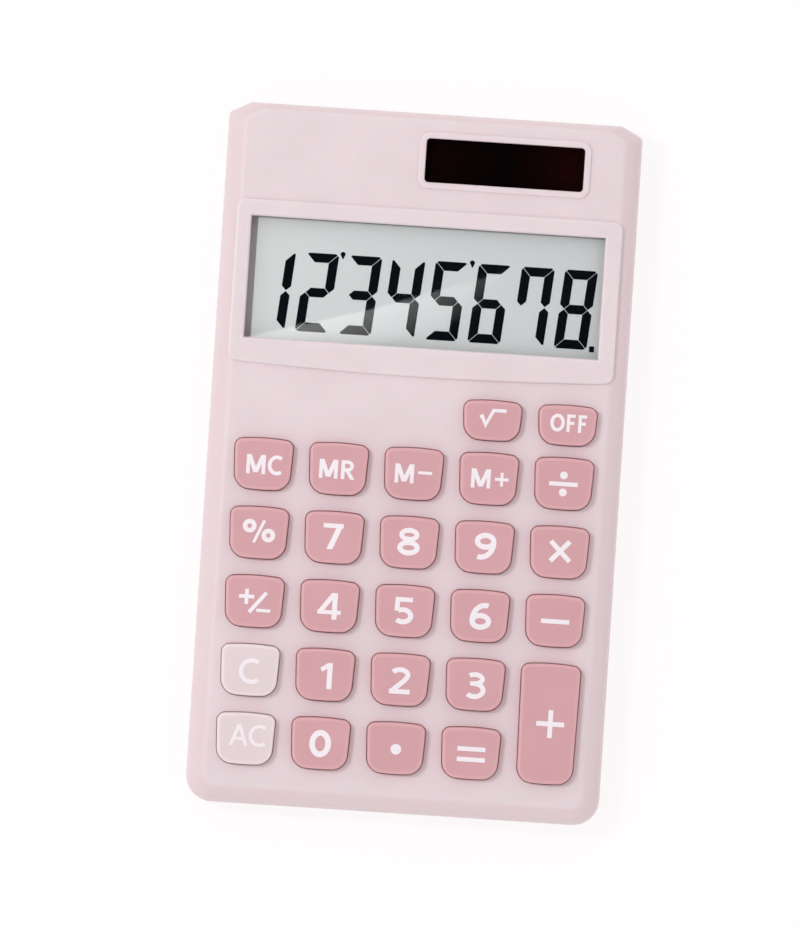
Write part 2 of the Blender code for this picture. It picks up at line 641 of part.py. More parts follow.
def make_battery():
    """The button cell, with a stepped rim round its smaller pole, and its two spring contacts."""
    top = BATTERY_BOTTOM + BATTERY_THICKNESS
    rings = [at_height(circle(BATTERY_CENTRE, BATTERY_RADIUS - inset, CELL_SIDES), z) for inset, z in (
        (0.3, BATTERY_BOTTOM), (0.0, BATTERY_BOTTOM + 0.3), (0.0, top - 0.6),
        (0.4, top - 0.3), (1.0, top - 0.3), (1.2, top))]
    make_object("button_cell", loft(rings), STEEL)

    tab = (BOARD_TOP + CONTACT_LIFT, BOARD_TOP + CONTACT_LIFT + LEAF)
    upper = (top + CLEARANCE, top + CLEARANCE + LEAF)
    near, far = CONTACT_TAB_Y
    profile = [(near, tab[0]), (far, tab[0]), (far, upper[0]), (CONTACT_END_Y, upper[0]),
               (CONTACT_END_Y, upper[1]), (far - LEAF, upper[1]), (far - LEAF, tab[1]), (near, tab[1])]
    strip = [[(x, y, z) for y, z in profile] for x in battery_x(-CONTACT_HALF_WIDTH, CONTACT_HALF_WIDTH)]
    make_object("battery_contact_negative", loft(strip), STEEL)

    side_x = BATTERY_CENTRE[0] + BATTERY_RADIUS + CLEARANCE
    upright = box((side_x, side_x + LEAF), (near, CONTACT_END_Y + 0.5), (tab[0], tab[0] + 1.0))
    positive = make_object("battery_contact_positive", upright, STEEL)
    foot = box((side_x + 0.1, side_x + CONTACT_TAB_WIDTH), (near, far - 1.0), tab)
    combine(positive, "UNION", foot)


def make_screw(name, centre, head, shaft, surface):
    """A screw that points up: head and shaft are (radius, bottom, top), with a cross recess."""
    rings = [at_height(circle(centre, radius, 10), z) for radius, z in (
        (head[0] - 0.2, head[1]), (head[0], head[1] + 0.2), (head[0], head[2]),
        (shaft[0], head[2]), (shaft[0], shaft[1] - 0.5), (shaft[0] * 0.4, shaft[1]))]
    screw = make_object(name, loft(rings), surface)
    arm, half, depth = head[0] * 0.6, 0.2, 0.4
    recess = [(arm, -half), (arm, half), (half, half), (half, arm), (-half, arm), (-half, half),
              (-arm, half), (-arm, -half), (-half, -half), (-half, -arm), (half, -arm), (half, -half)]
    combine(screw, "DIFFERENCE", prism(moved(recess, centre), head[1] - 0.3, head[1] + depth))


def make_fasteners_and_feet():
    """Four case screws, four board screws and four rubber feet."""
    for number, centre in enumerate(CASE_SCREWS, 1):
        make_screw(f"case_screw_{number}", centre, (1.7, 1.0, 2.1), (0.9, 7.2), STEEL)
    for number, centre in enumerate(BOARD_SCREWS, 1):
        make_screw(f"board_screw_{number}", centre, (1.4, 2.2, 2.9), (0.6, 7.2), STEEL)
    for number, centre in enumerate(FEET, 1):
        rings = [at_height(circle(centre, radius, LARGE_SIDES), z) for radius, z in (
            (FOOT_RADIUS - 0.3, 0.0), (FOOT_RADIUS, 0.25), (FOOT_RADIUS, FOOT_THICKNESS))]
        make_object(f"rubber_foot_{number}", loft(rings), RUBBER)


def main():
    """Build the calculator in an empty scene."""
    for old in list(bpy.data.objects):
        bpy.data.objects.remove(old)
    make_front_case()
    make_rear_case()
    make_battery_cover()
    make_keys()
    make_key_mat()
    make_circuit_board()
    make_display()
    make_solar_wires()
    make_battery()
    make_fasteners_and_feet()


main()
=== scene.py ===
"""The looks of a pocket calculator: fine casings, satin keys with white legends, a lit display.

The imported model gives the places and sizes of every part. Lengths below are in millimetres, and
MM turns them into metres where something is made. +X runs to the right across the keys, +Y runs
towards the display end and +Z points out of the key face.
"""

import math

import bmesh
import bpy
from mathutils import Matrix, Vector
from mathutils.geometry import delaunay_2d_cdt


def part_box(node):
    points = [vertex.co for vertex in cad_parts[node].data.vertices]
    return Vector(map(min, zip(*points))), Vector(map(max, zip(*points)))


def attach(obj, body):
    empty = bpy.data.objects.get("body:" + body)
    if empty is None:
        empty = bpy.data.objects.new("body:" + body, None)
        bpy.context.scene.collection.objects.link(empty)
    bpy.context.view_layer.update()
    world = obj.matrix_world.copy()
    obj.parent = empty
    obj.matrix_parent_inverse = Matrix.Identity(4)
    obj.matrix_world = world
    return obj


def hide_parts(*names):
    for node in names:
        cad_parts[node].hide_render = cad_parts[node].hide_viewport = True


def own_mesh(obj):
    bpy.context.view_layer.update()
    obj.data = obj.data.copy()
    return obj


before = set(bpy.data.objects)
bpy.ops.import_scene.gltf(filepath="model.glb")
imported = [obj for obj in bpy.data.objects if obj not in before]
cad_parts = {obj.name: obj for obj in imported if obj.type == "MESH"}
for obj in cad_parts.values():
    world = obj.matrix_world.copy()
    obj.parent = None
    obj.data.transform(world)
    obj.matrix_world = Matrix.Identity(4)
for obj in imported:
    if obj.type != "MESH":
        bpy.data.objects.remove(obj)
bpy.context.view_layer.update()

MM = 0.001


def node_box(name):
    """A CAD node's lowest and highest corner, in millimetres."""
    low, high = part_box(name)
    return low / MM, high / MM


def centre_of(name):
    """The middle of a CAD node, seen from above, in millimetres."""
    low, high = node_box(name)
    return ((low.x + high.x) / 2, (low.y + high.y) / 2)


def extent_of(name):
    """A CAD node's width and length, in millimetres."""
    low, high = node_box(name)
    return (high.x - low.x, high.y - low.y)


# Case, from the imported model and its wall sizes
FLOOR_BOTTOM = node_box("rear_case")[0].z
CASE_HALF_X, CASE_HALF_Y, LAP_TOP = node_box("rear_case")[1]
BEZEL_TOP = node_box("front_case")[1].z
CLEARANCE = 0.3
# How far a tool passes a face it cuts, and a joined part sinks into its wall
OVERSHOOT = 0.5
OVERLAP = 0.4
REAR_RIM = LAP_TOP - 0.8
FRONT_RIM = REAR_RIM + CLEARANCE
PLATE_TOP = BEZEL_TOP - 0.6
PLATE_BOTTOM = PLATE_TOP - 1.4
FLOOR_TOP = FLOOR_BOTTOM + 1.4
WALL = 1.5
LAP_INSET = 0.9
EDGE_BREAK = 0.12
BOTTOM_CORNER_RADIUS = 4.5
TOP_CLIP_X = 3.6
TOP_CLIP_Y = 1.9
TOP_CLIP_RADIUS = 1.0
BAND_SIDE = 3.4
BAND_BOTTOM = 3.3
BAND_TOP = 1.3
BAND_RINGS = 20
REAR_CURVE_INSET = 1.9
REAR_CURVE_HEIGHT = 2.5
REAR_CURVE_RINGS = 12
ARC_STEPS = 12
EDGE_STEPS = 5
ROUND_SIDES = 48
# Edges sharper than this keep their crease
SHARP_ANGLE = 32.0

# Inside the front shell: bosses for both kinds of screw, and holders for the two cells
BOSS_RADIUS = {"case": 2.1, "board": 1.4}
PILOT_RADIUS = {"case": 1.2, "board": 0.85}
PILOT_BOTTOM = {"case": FRONT_RIM - 0.5, "board": FRONT_RIM - 1.1}
PILOT_TOP = 7.5
HOLDER_WALL = 0.9
SOLAR_HOLDER_HALF_LENGTH = 2.5
SOLAR_HOLDER_BOTTOM = 6.4

# Inside the rear shell
PILLAR_RADIUS = 2.6
RIB_HALF_LENGTH = 31.0
RIB_HALF_WIDTH = 0.4
RIB_PLACES = (-30.8, -19.3)
BATTERY_WALL = (9.9, 10.7)
BATTERY_WALL_END_Y = 57.0
SCREW_HEAD_HOLE = 2.0
SCREW_SHAFT_HOLE = 1.2
SCREW_SEAT = 2.4

# Battery cover
BATTERY_X = centre_of("button_cell")[0]
COVER_END_Y = node_box("battery_cover")[0].y
TONGUE_HALF_WIDTH = extent_of("battery_cover")[0] / 2
TONGUE_TOP = node_box("battery_cover")[1].z
TONGUE_BOTTOM = TONGUE_TOP - 0.7
COVER_HALF_WIDTH = TONGUE_HALF_WIDTH - 1.1
COVER_HOLLOW_HALF_WIDTH = 7.0
COVER_HOLLOW_END_Y = 57.6
GRIP_GROOVES = 3
GRIP_FIRST_Y = 53.2
GRIP_PITCH = 1.4

# Keys
KEY_TOP = node_box("key_5")[1].z
KEY_FLANGE_BOTTOM = node_box("key_5")[0].z
KEY_FLANGE_TOP = KEY_FLANGE_BOTTOM + 0.8
KEY_FLANGE = 0.75
KEY_TAPER = 0.35
KEY_CORNER_TOP = 1.1
KEY_CORNER_BOTTOM = 2.3
KEY_BULGE_TOP = 0.35
KEY_BULGE_BOTTOM = 0.3
KEY_HOLE_GAP = 0.15
KEY_SHOULDER = 0.12
KEY_EDGE_WIDTH = 0.4
KEY_EDGE_DROP = 0.3
KEY_EDGE_STEPS = 7
KEY_NAMES = [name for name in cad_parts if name.startswith("key_") and name != "key_mat"]
PALE_KEYS = ("key_clear", "key_all_clear")

# Display and solar cell: ledges that the clear panes rest on, and rounding of each opening's edge
PANE_LEDGE = (1.15, 1.3)
SOLAR_LEDGE = 0.8
KEY_HOLE_FLARE = 0.05
DISPLAY_FLARE = 0.45
SOLAR_FLARE = 0.12
BEZEL_HALF_WIDTH = 32.3
BEZEL_TOP_Y = 42.6
BEZEL_SIDE_Y = 15.8
BEZEL_BOW = 0.9
BEZEL_RADIUS = 1.2
SOLAR_RIM_WIDTH = 0.75
SOLAR_RIM_TOP = PLATE_TOP + 0.35
SOLAR_STRIPS = 4
# Bare glass left of and above the display's silver film, darker grey: a painted shadow of the
# window's left and top walls
DISPLAY_SHADOW_BORDER = (1.25, 0.25)
FILM_THICKNESS = 0.16
SEGMENT_THICKNESS = 0.02
LOWER_GLASS_LEDGE = 1.6
DIGIT_PITCH = 7.3
LAST_DIGIT_X = 25.55
DIGIT_CENTRE_Y = 27.75
DIGIT_LEAN = math.tan(math.radians(5.0))

# Key mat and the domes under the keys
MAT_TOP = node_box("key_mat")[0].z + 0.6
MAT_SCREW_HOLE_RADIUS = 1.9
DOME_RADIUS = 3.2
DOME_TOP_RADIUS = 2.2
DOME_HOLLOW_RADIUS = 2.1

# Colours, in sRGB from 0 to 255
CASE_PINK = (229, 214, 218)
# Painted shade for the case's sloping sides
CASE_PINK_SHADED = (226, 206, 209)
KEY_ROSE = (212, 161, 167)
# Key rims: a lighter, warmer painted highlight along each cap's edge
KEY_RIM_HIGHLIGHT_ROSE = (222, 171, 175)
KEY_PALE = (228, 211, 213)
KEY_RIM_HIGHLIGHT_PALE = (238, 220, 222)
LEGEND_WHITE = (244, 235, 240)
# Heights between which painted shade darkens the case's pink towards its sloping sides
SIDE_SHADE_BAND = (9.39, 9.2)


# Outlines: lists of (x, y), counter-clockwise seen from above

def shifted_corners(corners, insets):
    """Corners of a convex outline after edge i, from corner i to the next, moves in insets[i]."""
    edges = []
    for here, inset in enumerate(insets):
        start = Vector(corners[here])
        along = (Vector(corners[(here + 1) % len(corners)]) - start).normalized()
        inwards = Vector((-along.y, along.x))
        edges.append((start + inwards * inset, along))
    shifted = []
    for here in range(len(edges)):
        (point, along), (other, other_along) = edges[here - 1], edges[here]
        across = along.x * other_along.y - along.y * other_along.x
        gap = other - point
        reach = (gap.x * other_along.y - gap.y * other_along.x) / across
        shifted.append(tuple(point + along * reach))
    return shifted


def rounded_outline(corners, radii, corner_steps, edge_steps=1):
    """A convex outline with round corners, and each straight edge in edge_steps pieces."""
    outline = []
    for here, corner in enumerate(corners):
        corner = Vector(corner)
        back = (Vector(corners[here - 1]) - corner).normalized()
        ahead = (Vector(corners[(here + 1) % len(corners)]) - corner).normalized()
        half_angle = back.angle(ahead) / 2
        centre = corner + (back + ahead).normalized() * (radii[here] / math.sin(half_angle))
        tangent = radii[here] / math.tan(half_angle)
        first = corner + back * tangent - centre
        sweep = math.pi - 2 * half_angle
        for step in range(corner_steps + 1):
            outline.append(centre + Matrix.Rotation(sweep * step / corner_steps, 2) @ first)
    split = []
    for here, point in enumerate(outline):
        split.append(tuple(point))
        if here % (corner_steps + 1) == corner_steps:
            after = outline[(here + 1) % len(outline)]
            for step in range(1, edge_steps):
                split.append(tuple(point.lerp(after, step / edge_steps)))
    return split


def rectangle(centre, size, radius=None, steps=ARC_STEPS):
    """A rectangle's outline, with round corners where a radius is given."""
    x, y = centre
    half_x, half_y = size[0] / 2, size[1] / 2
    corners = [(x + half_x, y - half_y), (x + half_x, y + half_y),
               (x - half_x, y + half_y), (x - half_x, y - half_y)]
    return rounded_outline(corners, [radius] * 4, steps) if radius else corners


def circle(centre, radius, sides=ROUND_SIDES):
    """A regular polygon's outline."""
    turns = [2 * math.pi * side / sides for side in range(sides)]
    return [(centre[0] + radius * math.cos(turn), centre[1] + radius * math.sin(turn))
            for turn in turns]


def case_outline(side, bottom, top):
    """The case's outline, moved in by a distance at its sides, its bottom and its top end."""
    corners = [(CASE_HALF_X, -CASE_HALF_Y), (CASE_HALF_X, CASE_HALF_Y - TOP_CLIP_Y),
               (CASE_HALF_X - TOP_CLIP_X, CASE_HALF_Y), (TOP_CLIP_X - CASE_HALF_X, CASE_HALF_Y),
               (-CASE_HALF_X, CASE_HALF_Y - TOP_CLIP_Y), (-CASE_HALF_X, -CASE_HALF_Y)]
    clip = (side + top) / 2
    inset_corners = shifted_corners(corners, (side, clip, top, clip, side, bottom))
    bottom_radius = max(BOTTOM_CORNER_RADIUS - 0.7 * side, 1.0)
    radii = (bottom_radius, *[TOP_CLIP_RADIUS] * 4, bottom_radius)
    return rounded_outline(inset_corners, radii, ARC_STEPS)


def key_size(name):
    """A key cap's half width at its top end, and its height, without flange and bows."""
    width, length = extent_of(name)
    half_top = width / 2 - KEY_FLANGE
    return half_top, length - 2 * KEY_FLANGE - (KEY_BULGE_TOP + KEY_BULGE_BOTTOM) / 2


def key_centre(name):
    """The point that a key's outline is drawn round."""
    x, y = centre_of(name)
    return x, y - (KEY_BULGE_TOP - KEY_BULGE_BOTTOM) / 4


def key_outline(name, grow):
    """A key's outline round its centre: a taper towards the user, and ends that bow outwards."""
    half_top, height = key_size(name)
    half_top += grow
    half_bottom = half_top - KEY_TAPER
    half_height = height / 2 + grow
    corners = [(half_bottom, -half_height), (half_top, half_height),
               (-half_top, half_height), (-half_bottom, -half_height)]
    radii = [max(radius + grow, 0.3) for radius in
             (KEY_CORNER_BOTTOM, KEY_CORNER_TOP, KEY_CORNER_TOP, KEY_CORNER_BOTTOM)]
    bowed = []
    for x, y in rounded_outline(corners, radii, 8, 8):
        bow = KEY_BULGE_TOP if y > 0 else -KEY_BULGE_BOTTOM
        reach = abs(y) / half_height
        bowed.append((x, y + bow * (1 - (x / half_top) ** 2) * reach ** 4 - bow / 2))
    return bowed


def bezel_outline(grow):
    """The raised display surround, whose lower edge bows towards the keys."""
    half = BEZEL_HALF_WIDTH + grow
    top, side = BEZEL_TOP_Y + grow, BEZEL_SIDE_Y - grow
    corners = [(half, side), (half, top), (-half, top), (-half, side)]
    outline = rounded_outline(corners, [BEZEL_RADIUS + grow] * 4, ARC_STEPS)
    bows = 24
    for step in range(1, bows):
        share = 2 * step / bows - 1
        outline.append((half * share, side - BEZEL_BOW * (1 - share ** 2)))
    return outline


def moved(outline, centre):
    """An outline carried to a centre."""
    return [(x + centre[0], y + centre[1]) for x, y in outline]


def grown_rectangle(centre, size, grow, radius=None):
    """A rectangle's outline, moved outwards by grow."""
    return rectangle(centre, [side + 2 * grow for side in size], radius)


# Meshes

def at_height(outline, z):
    """An outline as a ring of points at height z."""
    return [(x, y, z) for x, y in outline]


def loft(rings, mesh=None):
    """A closed solid through rings of equal length, listed from the bottom up."""
    mesh = mesh or bmesh.new()
    loops = [[mesh.verts.new(Vector(point) * MM) for point in ring] for ring in rings]
    for lower, upper in zip(loops, loops[1:]):
        for here in range(len(lower)):
            after = (here + 1) % len(lower)
            mesh.faces.new((lower[here], lower[after], upper[after], upper[here]))
    mesh.faces.new(reversed(loops[0]))
    mesh.faces.new(loops[-1])
    return mesh


def prism(outline, bottom, top, mesh=None):
    """An outline pushed up from one height to another."""
    return loft([at_height(outline, bottom), at_height(outline, top)], mesh)


def box(x, y, z, mesh=None):
    """A box from (low, high) pairs along the three axes."""
    centre = ((x[0] + x[1]) / 2, (y[0] + y[1]) / 2)
    return prism(rectangle(centre, (x[1] - x[0], y[1] - y[0])), z[0], z[1], mesh)


def turned(centre, profile, mesh=None, sides=ROUND_SIDES):
    """A round solid from (radius, height) pairs, listed from the bottom up."""
    return loft([at_height(circle(centre, radius, sides), z) for radius, z in profile], mesh)


def signed_area(polygon):
    """A polygon's area, negative where its points run clockwise."""
    pairs = zip(polygon, polygon[1:] + polygon[:1])
    return sum(x * after_y - after_x * y for (x, y), (after_x, after_y) in pairs) / 2


def flat_union(polygons, bottom, top):
    """One plate that covers overlapping polygons, from one height to another."""
    points, faces = [], []
    for polygon in polygons:
        if signed_area(polygon) < 0:
            polygon = polygon[::-1]
        faces.append(list(range(len(points), len(points) + len(polygon))))
        points += [Vector(point) for point in polygon]
    joined, _, triangles, _, _, origins = delaunay_2d_cdt(points, [], faces, 0, 1e-4)
    mesh = bmesh.new()
    corners = [mesh.verts.new(Vector((*point, bottom)) * MM) for point in joined]
    for triangle, origin in zip(triangles, origins):
        if origin:
            mesh.faces.new([corners[corner] for corner in triangle])
    loose = [corner for corner in corners if not corner.link_faces]
    bmesh.ops.delete(mesh, geom=loose, context="VERTS")
    raised = bmesh.ops.extrude_face_region(mesh, geom=mesh.faces[:])["geom"]
    raised = [item for item in raised if isinstance(item, bmesh.types.BMVert)]
    bmesh.ops.translate(mesh, vec=Vector((0.0, 0.0, (top - bottom) * MM)), verts=raised)
    bmesh.ops.dissolve_limit(mesh, angle_limit=math.radians(0.5), verts=mesh.verts,
                             edges=mesh.edges)
    bmesh.ops.recalc_face_normals(mesh, faces=mesh.faces)
    return mesh


def add_object(name, data):
    """An object put into the scene."""
    made = bpy.data.objects.new(name, data)
    bpy.context.scene.collection.objects.link(made)
    return made


def add_mesh(name, mesh):
    """An object put into the scene, made from a bmesh that is used up."""
    data = bpy.data.meshes.new(name)
    mesh.to_mesh(data)
    mesh.free()
    return add_object(name, data)


def combined(first, operation, second):
    """Two closed meshes joined, cut or crossed. The second may hold several that don't touch."""
    pair = [add_mesh("solid", mesh) for mesh in (first, second)]
    boolean = pair[0].modifiers.new("Boolean", "BOOLEAN")
    boolean.operation = operation
    boolean.solver = "EXACT"
    boolean.object = pair[1]
    result = bmesh.new()
    result.from_object(pair[0], bpy.context.evaluated_depsgraph_get())
    for used in pair:
        data = used.data
        bpy.data.objects.remove(used)
        bpy.data.meshes.remove(data)
    return result


def make_piece(name, mesh, surface, body, replaced=()):
    """A smooth-shaded piece that rides on a body and stands for the CAD nodes in replaced."""
    made = add_mesh(name, mesh)
    made.data.materials.append(surface)
    made.data.shade_smooth()
    made.data.set_sharp_from_angle(angle=math.radians(SHARP_ANGLE))
    weighted = made.modifiers.new("Weighted normals", "WEIGHTED_NORMAL")
    weighted.keep_sharp = True
    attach(made, body)
    if replaced:
        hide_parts(*replaced)
    return made


# Materials

def new_node(nodes, kind, **values):
    """A shader node with some of its inputs set. A _ in an input's name stands for a space."""
    node = nodes.new(f"ShaderNode{kind}")
    for name, value in values.items():
        node.inputs[name.replace("_", " ")].default_value = value
    return node


def linear(channel):
    """One sRGB channel, from 0 to 255, as a linear value."""
    share = channel / 255
    return share / 12.92 if share <= 0.04045 else ((share + 0.055) / 1.055) ** 2.4


def rgba(colour):
    """An sRGB colour as linear red, green, blue and alpha."""
    return (*[linear(channel) for channel in colour], 1.0)


class Surface:
    """A material with one Principled shader, and short ways to add what drives it."""

    def __init__(self, name, colour, roughness, metallic=0.0):
        self.material = bpy.data.materials.new(name)
        self.material.use_nodes = True
        self.nodes = self.material.node_tree.nodes
        self.links = self.material.node_tree.links
        self.shader = self.nodes["Principled BSDF"]
        self.set("Base Color", rgba(colour))
        self.set("Roughness", roughness)
        self.set("Metallic", metallic)
        self.place = new_node(self.nodes, "TexCoord").outputs["Object"]

    def set(self, name, value):
        """Sets one of the shader's own sockets."""
        self.shader.inputs[name].default_value = value

    def join(self, output, socket):
        """Links an output to a socket."""
        self.links.new(output, socket)

    def drive(self, name, output):
        """Links an output to one of the shader's own sockets."""
        self.join(output, self.shader.inputs[name])

    def noise(self, size, detail=2.0, stretch=(1.0, 1.0, 1.0)):
        """Noise whose features are about `size` millimetres across."""
        mapping = new_node(self.nodes, "Mapping", Scale=stretch)
        self.join(self.place, mapping.inputs["Vector"])
        texture = new_node(self.nodes, "TexNoise", Scale=1 / (size * MM), Detail=detail)
        self.join(mapping.outputs["Vector"], texture.inputs["Vector"])
        return texture.outputs["Fac"]

    def spread(self, factor, low, high, start=0.3, end=0.7):
        """A factor between start and end turned into a number between low and high."""
        reach = new_node(self.nodes, "MapRange", From_Min=start, From_Max=end, To_Min=low,
                         To_Max=high)
        self.join(factor, reach.inputs["Value"])
        return reach.outputs["Result"]

    def blend(self, factor, first, second):
        """A colour between two: each is an output or an sRGB colour."""
        mix = new_node(self.nodes, "Mix")
        mix.data_type = "RGBA"
        self.join(factor, mix.inputs[0])
        for socket, colour in ((mix.inputs[6], first), (mix.inputs[7], second)):
            if isinstance(colour, tuple):
                socket.default_value = rgba(colour)
            else:
                self.join(colour, socket)
        return mix.outputs[2]

    def along(self, axis, start, end):
        """How far a point is from start to end along X, Y or Z, in millimetres, as 0 to 1."""
        parts = new_node(self.nodes, "SeparateXYZ")
        self.join(self.place, parts.inputs[0])
        return self.spread(parts.outputs[axis], 0.0, 1.0, start * MM, end * MM)

    def attribute(self, name):
        """A number that the mesh holds at each point."""
        node = new_node(self.nodes, "Attribute")
        node.attribute_name = name
        return node.outputs["Fac"]

    def bump(self, height, depth):
        """A bump of `depth` millimetres from a height between 0 and 1."""
        node = new_node(self.nodes, "Bump", Distance=depth * MM, Strength=1.0)
        self.join(height, node.inputs["Height"])
        self.drive("Normal", node.outputs["Normal"])


def tinted(colour, change):
    """A colour with each channel changed by a few steps."""
    return tuple(max(0, min(255, channel + change)) for channel in colour)


def moulded(name, colour, roughness, grain_depth=0.004, glow=0.0, rim_highlight_colour=None,
            side_shade_colour=None, sheen=0.5):
    """Satin moulded plastic: mottled a little, with uneven gloss and a fine even grain, and, where
    asked, a painted rim highlight on keys and painted shade down the case's sloping sides.
    """
    surface = Surface(name, colour, roughness)
    broad = surface.noise(9.0)
    mottled = surface.blend(surface.spread(broad, 0.0, 1.0), tinted(colour, -2), tinted(colour, 2))
    # Painted highlight: key rims lighter and warmer, by each point's share of the rim attribute
    if rim_highlight_colour:
        mottled = surface.blend(surface.attribute("rim"), mottled, rim_highlight_colour)
    # Painted shade: the pink darkens down the case's sloping sides
    if side_shade_colour:
        mottled = surface.blend(surface.along("Z", *SIDE_SHADE_BAND), mottled, side_shade_colour)
    surface.drive("Base Color", mottled)
    fine = surface.noise(0.22, 3.0)
    surface.drive("Roughness", surface.spread(fine, roughness - 0.04, roughness + 0.05))
    surface.bump(fine, grain_depth)
    surface.set("Specular IOR Level", sheen)
    if glow:
        surface.set("Subsurface Weight", glow)
        surface.set("Subsurface Radius", (0.4, 1.0, 0.9))
        surface.set("Subsurface Scale", 1.3 * MM)
    return surface.material


def clear_pane(name, tint):
    """Clear acrylic: see-through, with a sharp reflection that grows at low angles."""
    surface = Surface(name, tint, 0.02)
    nodes = surface.nodes
    nodes.remove(surface.shader)
    through = new_node(nodes, "BsdfTransparent", Color=rgba(tint))
    mirror = new_node(nodes, "BsdfGlossy", Roughness=0.02)
    grazing = new_node(nodes, "LayerWeight", Blend=0.5)
    steep = new_node(nodes, "Math")
    steep.operation = "POWER"
    steep.inputs[1].default_value = 5.0
    surface.join(grazing.outputs["Facing"], steep.inputs[0])
    mix = new_node(nodes, "MixShader")
    surface.join(surface.spread(steep.outputs[0], 0.04, 1.0, 0.0, 1.0), mix.inputs[0])
    surface.join(through.outputs["BSDF"], mix.inputs[1])
    surface.join(mirror.outputs["BSDF"], mix.inputs[2])
    surface.join(mix.outputs["Shader"], nodes["Material Output"].inputs["Surface"])
    return surface.material


def metal(name, colour, roughness):
    """Nickel-plated steel with a faint drawn grain."""
    surface = Surface(name, colour, roughness, 1.0)
    streaks = surface.noise(0.6, 3.0, (1.0, 14.0, 1.0))
    surface.drive("Roughness", surface.spread(streaks, roughness - 0.08, roughness + 0.12))
    surface.drive("Base Color", surface.blend(surface.noise(2.5), tinted(colour, -8),
                                              tinted(colour, 6)))
    surface.bump(streaks, 0.002)
    return surface.material


def rubbery(name, colour, roughness):
    """Matt rubber or silicone with a dusty, fine-grained skin."""
    surface = Surface(name, colour, roughness)
    grain = surface.noise(0.12, 4.0)
    surface.drive("Base Color", surface.blend(surface.spread(grain, 0.0, 1.0),
                                              tinted(colour, -7), tinted(colour, 7)))
    surface.bump(grain, 0.01)
    return surface.material


def solar_surface():
    """Amorphous solar film: near black, with a maroon cast, hairlines between its strips, and a
    painted reflection that lightens it towards both ends, most at the right.
    """
    surface = Surface("solar_film", (16, 6, 7), 0.25)
    surface.set("Specular IOR Level", 0.25)
    low, high = node_box("solar_cell")
    scale = math.pi / 10 * SOLAR_STRIPS / ((high.x - low.x) * MM)
    wave = new_node(surface.nodes, "TexWave", Scale=scale)
    wave.bands_direction = "X"
    surface.join(surface.place, wave.inputs["Vector"])
    line = surface.spread(wave.outputs["Fac"], 0.0, 1.0, 0.997, 1.0)
    middle = (low.x + high.x) / 2
    # Painted reflection: the film lightens to maroon towards both ends, most at the right
    left = surface.blend(surface.along("X", low.x, middle), (28, 8, 9), (4, 2, 3))
    film = surface.blend(surface.along("X", middle, high.x), left, (46, 13, 16))
    surface.drive("Base Color", surface.blend(line, film, (20, 8, 9)))
    return surface.material


def display_surface():
    """The display's silver-grey polariser: a very fine grain and a soft cloud of tone."""
    surface = Surface("display_grey", (206, 208, 209), 0.42)
    low, high = node_box("lcd_panel")
    across = surface.along("X", low.x, high.x)
    shade = surface.blend(across, (241, 241, 240), (228, 227, 229))
    cloud = surface.blend(surface.spread(surface.noise(22.0), 0.0, 0.5), shade, (234, 234, 234))
    grain = surface.noise(0.09, 2.0)
    surface.drive("Base Color", surface.blend(surface.spread(grain, 0.0, 0.14), cloud,
                                              (208, 211, 213)))
    return surface.material


def board_surface():
    """Green solder mask over routed tracks, with a woven glass core."""
    surface = Surface("solder_mask", (28, 92, 58), 0.35)
    cells = new_node(surface.nodes, "TexVoronoi", Scale=1 / (3.2 * MM))
    cells.feature = "DISTANCE_TO_EDGE"
    surface.join(surface.place, cells.inputs["Vector"])
    track = surface.spread(cells.outputs["Distance"], 1.0, 0.0, 0.05, 0.12)
    surface.drive("Base Color", surface.blend(track, (22, 78, 48), (44, 118, 74)))
    surface.bump(track, 0.03)
    return surface.material


# Legends: polygons round a key's centre, x to the right and y towards the display end

def arc(centre, radius_x, radius_y, start, end, steps=28):
    """Points along an ellipse from one angle to another, in degrees."""
    turns = [math.radians(start + (end - start) * step / steps) for step in range(steps + 1)]
    return [(centre[0] + radius_x * math.cos(turn), centre[1] + radius_y * math.sin(turn))
            for turn in turns]


def ribbon(points, width):
    """Quads that follow a line with an even width, cut square at both ends."""
    points = [Vector(point) for point in points]
    sides = []
    for here, point in enumerate(points):
        before = points[max(here - 1, 0)]
        after = points[min(here + 1, len(points) - 1)]
        into = (point - before).normalized() if here else (after - point).normalized()
        out = (after - point).normalized() if here < len(points) - 1 else into
        along = (into + out).normalized()
        across = Vector((-along.y, along.x))
        half = width / 2 / max(along.dot(into), 0.5)
        sides.append((tuple(point + across * half), tuple(point - across * half)))
    return [(here[0], here[1], after[1], after[0]) for here, after in zip(sides, sides[1:])]


def ring(centre, radius_x, radius_y, width):
    """A closed loop with an even width."""
    half = width / 2
    inner = arc(centre, radius_x - half, radius_y - half, 0, 360, 40)
    outer = arc(centre, radius_x + half, radius_y + half, 0, 360, 40)
    return [(inner[here], outer[here], outer[here + 1], inner[here + 1]) for here in range(40)]


def bar(x, y):
    """An upright rectangle from (low, high) pairs."""
    return [((x[0], y[0]), (x[1], y[0]), (x[1], y[1]), (x[0], y[1]))]


def leaning(foot, head, width):
    """A leaning bar whose ends are cut level, with its width measured level."""
    half = width / 2
    return [((foot[0] - half, foot[1]), (foot[0] + half, foot[1]),
             (head[0] + half, head[1]), (head[0] - half, head[1]))]


def disc(centre, radius):
    """A filled circle."""
    return [tuple(circle(centre, radius, 32))]


def letter_m(left, right, low, high):
    """A capital M."""
    stem, middle = 0.62, (left + right) / 2
    return (bar((left, left + stem), (low, high)) + bar((right - stem, right), (low, high))
            + leaning((middle, low + 0.25), (left + 0.42, high), 0.78)
            + leaning((middle, low + 0.25), (right - 0.42, high), 0.78))


